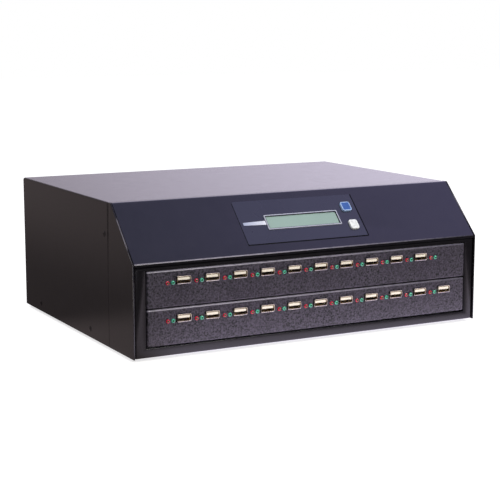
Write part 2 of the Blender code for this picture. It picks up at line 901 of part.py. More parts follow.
def make_socket_form():
    """One socket about its own mouth: shell with flared lips, tongue inside."""
    shell = bmesh.new()
    inner_width = socket_width - 2 * socket_wall
    inner_height = socket_height - 2 * socket_wall
    outer_sections = (
        (socket_length, socket_width, socket_height, socket_corner),
        (lip_length, socket_width, socket_height, socket_corner),
        (0, socket_width + 2 * lip_side_flare, socket_height + 2 * lip_flare, socket_corner + lip_flare),
    )
    inner_corner = socket_corner - socket_wall
    inner_sections = (
        (0, inner_width + 2 * lip_side_flare, inner_height + 2 * lip_flare, inner_corner + lip_flare),
        (lip_length, inner_width, inner_height, inner_corner),
        (socket_mouth, inner_width, inner_height, inner_corner),
    )
    rings = []
    for level, width, height, corner in outer_sections + inner_sections:
        rings.append(upright(rounded_outline(width, height, corner, 1), 0, 0, level))
    add_loft(shell, rings)
    item = make_object("socket_shell", shell, "socket_steel")
    tongue = bmesh.new()
    top = inner_height / 2 - tongue_headroom
    add_box(tongue, (-tongue_width / 2, tongue_setback, top - tongue_height),
            (tongue_width / 2, (socket_mouth + socket_length) / 2, top))
    tool = make_cutter("socket_tongue", tongue)
    join(item, tool)
    form = baked_mesh(item)
    bpy.data.objects.remove(tool, do_unlink=True)
    return form


def make_sockets():
    form = make_socket_form()
    rows = (
        ("upper_socket_", upper_panel_low, upper_socket_count),
        ("lower_socket_", lower_panel_low, lower_socket_count),
    )
    for name, low_z, count in rows:
        for index in range(count):
            item = place_mesh(name + str(index + 1).zfill(2), form, "socket_steel")
            item.location = (socket_x(index), front_y - socket_proud, low_z + panel_height - socket_drop)


def make_base_pan():
    """Floor with upturned front and side flanges, and posts for the main board."""
    low = (-inner_half, frame_back_y + seat_gap, bottom_z)
    high = (inner_half, rear_inner_y - seat_gap, bottom_z + pan_flange)
    shape = open_box(low, high, (0, 0, 1))
    pan = make_sheet("base_pan", shape, (0, 0, -1), "galvanised_steel", sheet, bend_radius)
    # The front flange stays below the port boards
    notch = bmesh.new()
    add_box(notch, (-inner_half + 2 * sheet, low[1] - cut_overrun, opening_low),
            (inner_half - 2 * sheet, low[1] + sheet + cut_overrun, high[2] + cut_overrun))
    cut(pan, make_cutter("base_pan_notch", notch))
    posts = bmesh.new()
    for x, y in main_board_corners():
        add_bar(posts, (x, y, bottom_z + sheet / 2), (x, y, pan_floor_top + standoff_height),
                standoff_diameter / 2, lamp_sides)
    join(pan, make_cutter("base_pan_posts", posts))
    holes = bmesh.new()
    for side in (-1, 1):
        for back, up in screw_places()[1:]:
            add_bar(holes,
                    (side * (inner_half + cut_overrun), front_y + back, bottom_z + up),
                    (side * (inner_half - sheet - cut_overrun), front_y + back, bottom_z + up),
                    screw_shank / 2 + seat_gap, screw_sides)
    cut(pan, make_cutter("base_pan_holes", holes))


def make_feet():
    radius = foot_diameter / 2
    front = frame_back_y + foot_inset_end
    back = rear_y - foot_inset_end
    across = half_width - foot_inset_side
    places = (
        ("foot_front_left", -across, front),
        ("foot_front_right", across, front),
        ("foot_rear_left", -across, back),
        ("foot_rear_right", across, back),
    )
    for name, x, y in places:
        mesh = bpy.data.meshes.new(name)
        profile = bmesh.new()
        points = (
            (0, foot_height - seat_gap),
            (radius, foot_height - seat_gap),
            (radius - foot_chamfer, foot_chamfer),
            (radius - 2 * foot_chamfer, 0),
            (0, 0),
        )
        verts = [profile.verts.new((reach, 0, level)) for reach, level in points]
        for pair in zip(verts, verts[1:]):
            profile.edges.new(pair)
        profile.to_mesh(mesh)
        profile.free()
        foot = place_mesh(name, mesh, "rubber")
        foot.location = (x, y, 0)
        turn = foot.modifiers.new("turned", "SCREW")
        turn.steps = 16
        turn.render_steps = 16
        turn.use_merge_vertices = True
        turn.merge_threshold = 0.00001


def main_board_corners():
    inset = standoff_diameter
    low_x = main_board_x - main_board_width / 2 + inset
    high_x = main_board_x + main_board_width / 2 - inset
    low_y = front_y + main_board_front + inset
    high_y = front_y + main_board_front + main_board_depth - inset
    return [(x, y) for x in (low_x, high_x) for y in (low_y, high_y)]


def main_board_level():
    return pan_floor_top + standoff_height + seat_gap


def make_main_board():
    level = main_board_level()
    top = level + board_thickness
    low_x = main_board_x - main_board_width / 2
    front = front_y + main_board_front
    shape = bmesh.new()
    add_box(shape, (low_x, front, level), (low_x + main_board_width, front + main_board_depth, top))
    board = make_object("main_board", shape, "circuit_board")
    extra = bmesh.new()
    sink = level + board_thickness / 2
    middle_y = front + main_board_depth / 2
    # Heat sink: a base with fins over the controller
    low = main_board_x - sink_size / 2
    base_top = top + sink_height / 4
    add_box(extra, (low, middle_y - sink_size / 2, sink),
            (low + sink_size, middle_y + sink_size / 2, base_top))
    for number in range(4):
        x = low_x + main_board_width * (2 * number + 1) / 8 - chip_size / 4
        y = front + main_board_depth * chip_row_share
        add_box(extra, (x, y, sink),
                (x + chip_size / 2, y + chip_size * chip_depth_share, top + chip_height))
    # Header for the port ribbon, at the front edge
    add_box(extra, (port_ribbon_x - connector_length / 2, front, sink),
            (port_ribbon_x + connector_length / 2, front + connector_height, top + connector_depth))
    # Header for the display ribbon, further back
    header_y = front + display_header_back
    add_box(extra, (display_ribbon_x - connector_length / 2, header_y, sink),
            (display_ribbon_x + connector_length / 2, header_y + connector_height, top + connector_depth))
    # Supply plug, at the right edge
    add_box(extra, (supply_plug_x() - connector_height, middle_y - connector_length / 2, sink),
            (supply_plug_x(), middle_y + connector_length / 2, top + connector_depth))
    join(board, make_cutter("main_board_parts", extra))
    fins = bmesh.new()
    for number in range(fin_count):
        x = low + (sink_size - fin_thickness) * number / (fin_count - 1)
        add_box(fins, (x, middle_y - sink_size / 2, base_top - fin_thickness),
                (x + fin_thickness, middle_y + sink_size / 2, top + sink_height))
    join(board, make_cutter("main_board_fins", fins))


def supply_plug_x():
    return main_board_x + main_board_width / 2 - seat_gap


def make_power_supply():
    floor = pan_floor_top + seat_gap
    low_x = supply_x - supply_width / 2
    front = front_y + supply_front
    back = front + supply_depth
    shape = bmesh.new()
    add_box(shape, (low_x, front, floor), (low_x + supply_width, back - terminal_depth, floor + supply_height))
    supply = make_object("power_supply", shape, "galvanised_steel")
    strip = bmesh.new()
    add_box(strip, (low_x + terminal_depth, back - terminal_depth * terminal_root_share, floor),
            (low_x + supply_width - terminal_depth, back, floor + terminal_height))
    join(supply, make_cutter("power_supply_terminals", strip))
    slots = bmesh.new()
    middle = (front + back - terminal_depth) / 2
    for number in range(supply_slot_count):
        x = supply_x + (number - (supply_slot_count - 1) / 2) * supply_slot_spacing
        add_box(slots,
                (x - supply_slot_width / 2, middle - supply_slot_length / 2,
                 floor + supply_height - supply_slot_depth),
                (x + supply_slot_width / 2, middle + supply_slot_length / 2,
                 floor + supply_height + cut_overrun))
    cut(supply, make_cutter("power_supply_slots", slots))


def make_rear_panel():
    low = (-inner_half, rear_inner_y - rear_return, pan_floor_top + seat_gap)
    high = (inner_half, rear_y, top_z - sheet - seat_gap)
    shape = open_box(low, high, (0, -1, 0))
    panel = make_sheet("rear_panel", shape, (0, 1, 0), "black_powder_coat", sheet, bend_radius)
    # Its lower and side returns stop short of the base pan's side flanges
    notch = bmesh.new()
    add_box(notch, (-inner_half - cut_overrun, rear_inner_y - rear_return - cut_overrun, low[2] - cut_overrun),
            (inner_half + cut_overrun, rear_inner_y - seat_gap, bottom_z + pan_flange + seat_gap))
    cut(panel, make_cutter("rear_panel_notch", notch))
    holes = bmesh.new()
    front = rear_inner_y - cut_overrun
    back = rear_y + cut_overrun
    add_bar(holes, (fan_centre_x, front, fan_centre_z), (fan_centre_x, back, fan_centre_z),
            fan_bore / 2, bore_sides)
    for x, z in fan_corners():
        add_bar(holes, (x, front, z), (x, back, z), fan_screw_hole / 2, lamp_sides)
    add_box(holes,
            (inlet_centre_x - inlet_body_width / 2 - seat_gap, front,
             inlet_centre_z - inlet_body_height / 2 - seat_gap),
            (inlet_centre_x + inlet_body_width / 2 + seat_gap, back,
             inlet_centre_z + inlet_body_height / 2 + seat_gap))
    add_box(holes,
            (inlet_centre_x - switch_body_width / 2 - seat_gap, front,
             switch_centre_z - switch_body_height / 2 - seat_gap),
            (inlet_centre_x + switch_body_width / 2 + seat_gap, back,
             switch_centre_z + switch_body_height / 2 + seat_gap))
    for number in range(vent_slot_count):
        x = vent_centre_x + (number - (vent_slot_count - 1) / 2) * vent_slot_spacing
        for level in (vent_top_z - vent_row_spacing, vent_top_z):
            add_box(holes, (x - vent_slot_width / 2, front, level - vent_slot_height / 2),
                    (x + vent_slot_width / 2, back, level + vent_slot_height / 2))
    cut(panel, make_cutter("rear_panel_holes", holes))


def fan_corners():
    half = fan_screw_spacing / 2
    return [(fan_centre_x + right * half, fan_centre_z + up * half)
            for right in (-1, 1) for up in (-1, 1)]


def make_fan_frame():
    back = rear_inner_y - seat_gap
    front = back - fan_depth
    shape = bmesh.new()
    outline = upright(rounded_outline(fan_size, fan_size, fan_corner, 3), fan_centre_x, fan_centre_z, front)
    add_prism(shape, outline, (0, fan_depth, 0))
    frame = make_object("fan_frame", shape, "black_plastic")
    bore = bmesh.new()
    add_bar(bore, (fan_centre_x, front - cut_overrun, fan_centre_z),
            (fan_centre_x, back + cut_overrun, fan_centre_z), fan_bore / 2, bore_sides)
    for x, z in fan_corners():
        add_bar(bore, (x, front - cut_overrun, z), (x, back + cut_overrun, z),
                fan_screw_hole / 2, lamp_sides)
    cut(frame, make_cutter("fan_bore", bore))
    # The motor plate on its struts, at the rear side of the bore
    mount = bmesh.new()
    add_bar(mount, (fan_centre_x, back - motor_depth, fan_centre_z), (fan_centre_x, back, fan_centre_z),
            hub_diameter / 2, hub_sides)
    join(frame, make_cutter("fan_motor_plate", mount))
    struts = bmesh.new()
    for number in range(3):
        turn = Matrix.Rotation(2 * math.pi * number / 3 + math.pi / 2, 4, "Y")
        verts = add_box(struts, (hub_diameter / 4, 0, -strut_width / 2),
                        (fan_bore / 2 + strut_width / 4, motor_depth * strut_depth_share, strut_width / 2))
        bmesh.ops.transform(struts, matrix=Matrix.Translation(
            (fan_centre_x, back - motor_depth * strut_back_share, fan_centre_z)) @ turn, verts=verts)
    join(frame, make_cutter("fan_struts", struts))
    shaft = bmesh.new()
    add_bar(shaft, (fan_centre_x, back - motor_depth / 2, fan_centre_z),
            (fan_centre_x, back - motor_depth - shaft_length, fan_centre_z), shaft_diameter / 2, shaft_sides)
    join(frame, make_cutter("fan_shaft", shaft))


def blade_rings(turn):
    """Sections of one twisted blade, from inside the hub to the tip."""
    root = hub_diameter / 2 - blade_thickness
    tip = fan_bore / 2 - blade_tip_gap
    rings = []
    for step in range(blade_steps + 1):
        share = step / blade_steps
        radius = root + (tip - root) * share
        chord = blade_root_chord + (blade_tip_chord - blade_root_chord) * share
        pitch = blade_root_pitch + (blade_tip_pitch - blade_root_pitch) * share
        along = Vector((math.cos(pitch), math.sin(pitch)))
        across = Vector((-along.y, along.x)) * blade_thickness / 2
        corners = (
            -along * chord / 2,
            -along * chord / 6 - across,
            along * chord / 2,
            -along * chord / 6 + across,
        )
        ring = []
        for corner in corners:
            angle = turn + corner.x / radius
            ring.append(Vector((radius * math.cos(angle), corner.y, radius * math.sin(angle))))
        rings.append(ring)
    return rings


def make_fan_rotor():
    back = rear_inner_y - seat_gap - motor_depth - running_gap
    middle = back - hub_depth / 2
    axle = bpy.data.objects.new("fan_axle", None)
    parts.objects.link(axle)
    axle.location = (fan_centre_x, middle, fan_centre_z)
    hub = bmesh.new()
    radius = hub_diameter / 2
    sections = (
        (-hub_depth / 2, radius * (1 - hub_chamfer_share)),
        (-hub_depth / 2 + radius * hub_chamfer_share, radius),
        (hub_depth / 2, radius),
    )
    rings = []
    for level, reach in sections:
        turns = [2 * math.pi * step / hub_sides for step in range(hub_sides)]
        rings.append([Vector((reach * math.cos(turn), level, reach * math.sin(turn))) for turn in turns])
    add_loft(hub, rings)
    rotor = make_object("fan_rotor", hub, "black_plastic", axle)
    bore = bmesh.new()
    bore_radius = shaft_diameter / 2 + seat_gap
    add_bar(bore, (0, hub_depth / 2 + cut_overrun, 0),
            (0, hub_depth / 2 + running_gap - shaft_length - seat_gap, 0), bore_radius, shaft_sides)
    cut(rotor, make_cutter("rotor_bore", bore, axle))
    blades = bmesh.new()
    for number in range(blade_count):
        add_loft(blades, blade_rings(2 * math.pi * number / blade_count))
    join(rotor, make_cutter("rotor_blades", blades, axle))


def make_fan_guard():
    """Concentric wire rings welded on crossing bars that end in screw eyes."""
    centre = bpy.data.objects.new("guard_centre", None)
    parts.objects.link(centre)
    centre.location = (fan_centre_x, rear_y, fan_centre_z)
    wire = guard_wire / 2
    half = fan_screw_spacing / 2
    bar_y = seat_gap + wire
    ring_y = bar_y + wire * ring_lift_share
    bars = []
    for sign in (-1, 1):
        bar = bmesh.new()
        add_bar(bar, (-half, bar_y, -sign * half), (half, bar_y, sign * half), wire, wire_sides)
        bars.append(bar)
    guard = make_object("fan_guard", bars[0], "bright_wire", centre)
    join(guard, make_cutter("guard_second_bar", bars[1], centre))
    for number in range(guard_ring_count):
        radius = (guard_inner_ring + number * guard_ring_step) / 2
        ring = bmesh.new()
        add_torus(ring, radius, wire, (0, ring_y, 0), ring_sides, wire_sides)
        join(guard, make_cutter("guard_ring_" + str(number + 1), ring, centre))
    eyes = bmesh.new()
    reach = wire * eye_depth_share
    for x in (-half, half):
        for z in (-half, half):
            add_bar(eyes, (x, bar_y - reach, z), (x, bar_y + reach, z), guard_eye / 2, shaft_sides)
    join(guard, make_cutter("guard_eyes", eyes, centre))


def add_torus(shape, radius, wire, centre, major, minor):
    """A ring of wire in the upright plane, from a small circle spun round."""
    circle = bmesh.ops.create_circle(shape, cap_ends=False, segments=minor, radius=wire)["verts"]
    bmesh.ops.translate(shape, vec=(radius, 0, 0), verts=circle)
    edges = list({edge for vert in circle for edge in vert.link_edges})
    bmesh.ops.spin(shape, geom=circle + edges, cent=(0, 0, 0), axis=(0, 1, 0),
                   dvec=(0, 0, 0), angle=2 * math.pi, steps=major, use_merge=True)
    bmesh.ops.remove_doubles(shape, verts=shape.verts, dist=wire * 0.05)
    bmesh.ops.translate(shape, vec=centre, verts=shape.verts)


def make_power_inlet():
    shape = bmesh.new()
    bezel_front = rear_y + seat_gap
    add_box(shape,
            (inlet_centre_x - inlet_bezel_width / 2, bezel_front, inlet_centre_z - inlet_bezel_height / 2),
            (inlet_centre_x + inlet_bezel_width / 2, rear_y + inlet_bezel_depth,
             inlet_centre_z + inlet_bezel_height / 2))
    inlet = make_object("power_inlet", shape, "black_plastic")
    body = bmesh.new()
    add_box(body,
            (inlet_centre_x - inlet_body_width / 2, rear_y - inlet_body_depth,
             inlet_centre_z - inlet_body_height / 2),
            (inlet_centre_x + inlet_body_width / 2, rear_y + inlet_bezel_depth / 2,
             inlet_centre_z + inlet_body_height / 2))
    join(inlet, make_cutter("inlet_body", body))
    mouth = bmesh.new()
    half = inlet_mouth_width / 2
    rise = inlet_mouth_height / 2
    outline = [
        (inlet_centre_x - half, inlet_centre_z - rise),
        (inlet_centre_x + half, inlet_centre_z - rise),
        (inlet_centre_x + half, inlet_centre_z + rise - inlet_chamfer),
        (inlet_centre_x + half - inlet_chamfer, inlet_centre_z + rise),
        (inlet_centre_x - half + inlet_chamfer, inlet_centre_z + rise),
        (inlet_centre_x - half, inlet_centre_z + rise - inlet_chamfer),
    ]
    mouth_back = rear_y + inlet_bezel_depth - inlet_mouth_depth
    add_prism(mouth, [(x, mouth_back, z) for x, z in outline],
              (0, inlet_mouth_depth + cut_overrun, 0))
    cut(inlet, make_cutter("inlet_mouth", mouth))
    pins = bmesh.new()
    places = ((-pin_spacing / 2, -live_pin_fall), (pin_spacing / 2, -live_pin_fall), (0, earth_pin_rise))
    for x, z in places:
        add_box(pins,
                (inlet_centre_x + x - pin_width / 2, mouth_back - pin_width,
                 inlet_centre_z + z - pin_height / 2),
                (inlet_centre_x + x + pin_width / 2, mouth_back + pin_length,
                 inlet_centre_z + z + pin_height / 2))
    body_back = rear_y - inlet_body_depth
    for x, z in places:
        add_box(pins,
                (inlet_centre_x + x - tab_thickness / 2, body_back - tab_length,
                 inlet_centre_z + z - tab_width / 2),
                (inlet_centre_x + x + tab_thickness / 2, body_back + tab_thickness,
                 inlet_centre_z + z + tab_width / 2))
    join(inlet, make_cutter("inlet_pins", pins))


def rocker_pivot():
    return Vector((inlet_centre_x, rear_y + switch_bezel_depth - rocker_depth, switch_centre_z))


def make_power_switch():
    shape = bmesh.new()
    add_box(shape,
            (inlet_centre_x - switch_bezel_width / 2, rear_y + seat_gap,
             switch_centre_z - switch_bezel_height / 2),
            (inlet_centre_x + switch_bezel_width / 2, rear_y + switch_bezel_depth,
             switch_centre_z + switch_bezel_height / 2))
    housing = make_object("power_switch", shape, "black_plastic")
    body = bmesh.new()
    add_box(body,
            (inlet_centre_x - switch_body_width / 2, rear_y - switch_body_depth,
             switch_centre_z - switch_body_height / 2),
            (inlet_centre_x + switch_body_width / 2, rear_y + switch_bezel_depth / 2,
             switch_centre_z + switch_body_height / 2))
    join(housing, make_cutter("switch_body", body))
    mouth = bmesh.new()
    add_box(mouth,
            (inlet_centre_x - switch_mouth_width / 2, rear_y + switch_bezel_depth - switch_mouth_depth,
             switch_centre_z - switch_mouth_height / 2),
            (inlet_centre_x + switch_mouth_width / 2, rear_y + switch_bezel_depth + cut_overrun,
             switch_centre_z + switch_mouth_height / 2))
    cut(housing, make_cutter("switch_mouth", mouth))
    pivot = rocker_pivot()
    bearing = bmesh.new()
    reach = switch_mouth_width / 2 + trunnion_length + seat_gap
    add_bar(bearing, pivot - Vector((reach, 0, 0)), pivot + Vector((reach, 0, 0)),
            trunnion_diameter / 2 + seat_gap, shaft_sides)
    cut(housing, make_cutter("switch_bearing", bearing))


def make_rocker():
    """Two faces that meet at the middle, rounded ends about the pivot."""
    pivot = bpy.data.objects.new("rocker_pivot", None)
    parts.objects.link(pivot)
    pivot.location = rocker_pivot()
    pivot.rotation_euler = (rocker_tilt, 0, 0)
    points = [Vector((rocker_depth, 0))]
    for step in range(4):
        angle = rocker_high_angle + (rocker_low_angle - rocker_high_angle) * step / 3
        points.append(Vector((math.sin(angle), math.cos(angle))) * rocker_radius)
    points.append(Vector((-switch_mouth_depth, rocker_radius)) * rocker_keel_share)
    mirrored = [Vector((point.x, -point.y)) for point in points[:0:-1]]
    half = switch_mouth_width / 2 - rocker_gap
    outline = [(-half, point.x, point.y) for point in points + mirrored]
    shape = bmesh.new()
    add_prism(shape, outline, (2 * half, 0, 0))
    rocker = make_object("power_rocker", shape, "black_plastic", pivot)
    trunnion = bmesh.new()
    reach = switch_mouth_width / 2 + trunnion_length
    add_bar(trunnion, (-reach, 0, 0), (reach, 0, 0), trunnion_diameter / 2, shaft_sides)
    join(rocker, make_cutter("rocker_trunnions", trunnion, pivot))


def smooth_route(points, steps):
    """A smooth line through hand-placed points."""
    points = [Vector(point) for point in points]
    line = []
    for index in range(len(points) - 1):
        before = points[max(index - 1, 0)]
        here = points[index]
        after = points[index + 1]
        beyond = points[min(index + 2, len(points) - 1)]
        for step in range(steps):
            share = step / steps
            line.append(
                here + (after - before) * share / 2
                + (2 * before - 5 * here + 4 * after - beyond) * share ** 2 / 2
                + (3 * here - before - 3 * after + beyond) * share ** 3 / 2)
    line.append(points[-1])
    return line


def make_cable(name, points, diameter, material_name):
    curve = bpy.data.curves.new(name, "CURVE")
    curve.dimensions = "3D"
    curve.bevel_depth = diameter / 2
    curve.bevel_resolution = cable_sides_resolution
    curve.use_fill_caps = True
    route = smooth_route(points, cable_steps)
    spline = curve.splines.new("POLY")
    spline.points.add(len(route) - 1)
    for place, point in zip(spline.points, route):
        place.co = (*point, 1.0)
    item = bpy.data.objects.new(name, curve)
    parts.objects.link(item)
    curve.materials.append(materials[material_name])


def make_ribbon(name, points, centre_x, width, material_name):
    """A flat cable: a smooth line in the side view, swept across its width."""
    route = smooth_route([(0, place[0], place[1]) for place in points], ribbon_steps)
    shape = bmesh.new()
    add_strip(shape, [(centre_x - width / 2, point.y, point.z) for point in route], (width, 0, 0))
    bmesh.ops.recalc_face_normals(shape, faces=shape.faces)
    mesh = bpy.data.meshes.new(name)
    shape.to_mesh(mesh)
    shape.free()
    item = place_mesh(name, mesh, material_name)
    step = item.modifiers.new("wall", "SOLIDIFY")
    step.thickness = ribbon_thickness
    step.offset = 0.0
    step.use_even_offset = True


def make_port_ribbon():
    """From its header forward and down, then up past the lower connector to the upper one."""
    half = ribbon_thickness / 2
    header_y = front_y + main_board_front + connector_height / 2
    header_top = main_board_level() + board_thickness + connector_depth + seat_gap
    back = port_board_back_y + connector_depth + seat_gap + half
    first = panel_sheet + seat_gap + connector_height
    lower_z = lower_panel_low + first
    upper_z = upper_panel_low + first
    header = Vector((header_y, header_top))
    lower = Vector((back, lower_z))
    upper = Vector((back, upper_z))
    bulge = Vector((port_bulge_share, 0))
    rise = connector_height
    route = [header + Vector(share) * rise for share in port_header_shares]
    route += [lower + Vector(share) * rise for share in port_lower_shares]
    route.append((lower + upper) / 2 + bulge * rise)
    route += [upper + Vector(share) * rise for share in port_upper_shares]
    make_ribbon("port_ribbon", route, port_ribbon_x, ribbon_width, "grey_cable")


def make_display_ribbon():
    """From the back of the panel board down to its header on the main board."""
    header_y = front_y + main_board_front + display_header_back + connector_height / 2
    header_top = main_board_level() + board_thickness + connector_depth + seat_gap
    reach = sheet + board_drop + seat_gap + board_thickness + connector_depth + seat_gap
    inward = Vector((math.sin(slope_angle), -math.cos(slope_angle)))
    along = Vector((math.cos(slope_angle), math.sin(slope_angle)))
    start = Vector((front_y, front_top_z)) + along * window_centre_up + inward * reach
    rise = connector_height
    out = start + inward * rise
    header = Vector((header_y, header_top))
    bulge = Vector((display_bulge_share, 0))
    route = [
        start,
        start + inward * rise * display_board_share,
        out + Vector(display_turn_shares) * rise,
        (out + header) / 2 + bulge * rise,
    ]
    route += [header + Vector(share) * rise for share in display_header_shares]
    make_ribbon("display_ribbon", route, display_ribbon_x, ribbon_width, "grey_cable")


def make_supply_harness():
    """From the supply's terminals round its corner to the plug on the main board."""
    terminal_x = supply_x - supply_width / 2 + terminal_depth + cable_diameter * 2
    terminal_y = front_y + supply_front + supply_depth + seat_gap
    level = pan_floor_top + seat_gap + terminal_height / 2
    plug_x = supply_plug_x() + seat_gap
    plug_y = front_y + main_board_front + main_board_depth / 2
    plug_z = main_board_level() + board_thickness + connector_depth / 2
    side_x = supply_x - supply_width / 2 - cable_diameter * 2
    bend = (side_x - plug_x) * supply_bend_share
    route = [(terminal_x + cable_diameter * across, terminal_y + cable_diameter * along, level)
             for across, along in supply_terminal_shares]
    route += [(side_x + cable_diameter * across, terminal_y + cable_diameter * along, level)
              for across, along in supply_side_shares]
    route += [
        (side_x - cable_diameter / 2, (terminal_y + plug_y) / 2 + cable_diameter * 2, level),
        (side_x - bend, plug_y + cable_diameter * 2, (level + plug_z) / 2),
        (plug_x + bend, plug_y, plug_z),
        (plug_x, plug_y, plug_z),
    ]
    make_cable("supply_harness", route, cable_diameter, "black_cable")


def make_mains_harness():
    """From the inlet's tabs down to the supply's terminals."""
    start_y = rear_y - inlet_body_depth - tab_length - seat_gap
    start_z = inlet_centre_z + (earth_pin_rise - live_pin_fall) / 2
    terminal_y = front_y + supply_front + supply_depth + seat_gap
    level = pan_floor_top + seat_gap + terminal_height / 2
    run = start_y - terminal_y
    drop = start_z - level
    route = [(inlet_centre_x + cable_diameter * across, start_y - run * along, start_z - drop * down)
             for across, along, down in mains_route_shares]
    make_cable("mains_harness", route, cable_diameter, "black_cable")


def main():
    global parts, cutters
    clear_scene()
    parts = new_collection("usb_stick_duplicator")
    cutters = new_collection("cutters")
    make_materials()
    slope = make_slope_frame()
    make_top_cover()
    make_cheek("left_cheek", -1)
    make_cheek("right_cheek", 1)
    make_cover_screws()
    make_front_frame()
    make_control_panel(slope)
    make_overlay(slope)
    board_top = make_display(slope)
    make_panel_board(slope, board_top)
    make_key("upper_key", slope, upper_key_width, upper_key_up, board_top, "blue_plastic")
    make_key("lower_key", slope, lower_key_width, lower_key_up, board_top, "white_plastic")
    make_port_panel("upper_port_panel", upper_panel_low, upper_socket_count)
    make_port_panel("lower_port_panel", lower_panel_low, lower_socket_count)
    make_port_board("upper_port_board", upper_panel_low)
    make_port_board("lower_port_board", lower_panel_low)
    make_sockets()
    make_base_pan()
    make_feet()
    make_main_board()
    make_power_supply()
    make_rear_panel()
    make_fan_frame()
    make_fan_rotor()
    make_fan_guard()
    make_power_inlet()
    make_power_switch()
    make_rocker()
    make_port_ribbon()
    make_display_ribbon()
    make_supply_harness()
    make_mains_harness()


main()
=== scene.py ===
"""A desktop USB stick duplicator in a folded steel case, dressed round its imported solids.

Metres, +Z up, front towards -Y.
"""

import json
import math

import bmesh
import bpy
from bpy.props import FloatProperty, FloatVectorProperty, PointerProperty
from mathutils import Matrix, Vector

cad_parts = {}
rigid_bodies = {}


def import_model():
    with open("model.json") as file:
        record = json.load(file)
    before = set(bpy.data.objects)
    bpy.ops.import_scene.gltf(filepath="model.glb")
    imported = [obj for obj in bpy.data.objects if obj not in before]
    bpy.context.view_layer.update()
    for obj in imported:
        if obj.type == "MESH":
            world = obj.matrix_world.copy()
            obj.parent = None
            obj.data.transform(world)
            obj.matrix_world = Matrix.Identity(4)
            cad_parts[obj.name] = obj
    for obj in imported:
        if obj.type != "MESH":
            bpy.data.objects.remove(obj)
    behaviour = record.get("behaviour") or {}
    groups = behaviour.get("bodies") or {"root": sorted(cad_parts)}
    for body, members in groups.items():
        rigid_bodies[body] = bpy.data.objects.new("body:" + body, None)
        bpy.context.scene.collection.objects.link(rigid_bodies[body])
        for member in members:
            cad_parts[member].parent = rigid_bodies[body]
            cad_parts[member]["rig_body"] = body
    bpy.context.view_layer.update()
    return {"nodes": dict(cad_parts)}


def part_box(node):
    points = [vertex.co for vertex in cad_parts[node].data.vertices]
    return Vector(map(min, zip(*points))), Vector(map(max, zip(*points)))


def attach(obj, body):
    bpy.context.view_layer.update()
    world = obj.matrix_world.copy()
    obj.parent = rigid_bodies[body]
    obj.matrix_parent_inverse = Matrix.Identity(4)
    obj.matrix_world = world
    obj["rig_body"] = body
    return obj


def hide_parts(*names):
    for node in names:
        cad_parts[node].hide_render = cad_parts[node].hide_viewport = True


for leftover in list(bpy.data.objects):
    bpy.data.objects.remove(leftover)

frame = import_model()

bl_info = {
    "name": "USB Stick Duplicator",
    "version": (1, 0, 0),
    "blender": (4, 5, 0),
    "location": "3D View > Sidebar > Duplicator",
    "description": "Builds a desktop USB stick duplicator round its packed solids",
    "category": "Object",
}


def linear(code):
    """An sRGB hex colour as linear RGBA."""
    channels = [int(code[place:place + 2], 16) / 255 for place in (0, 2, 4)]
    bent = [part / 12.92 if part <= 0.04045 else ((part + 0.055) / 1.055) ** 2.4 for part in channels]
    return (*bent, 1.0)


def length(name, description, default):
    """A size in metres that the sidebar shows."""
    return FloatProperty(name=name, description=description, default=default, min=0.0,
                         precision=5, unit="LENGTH")


def colour(name, description, code):
    """A colour that the sidebar shows."""
    return FloatVectorProperty(name=name, description=description, default=linear(code),
                               subtype="COLOR", size=4, min=0.0, max=1.0)


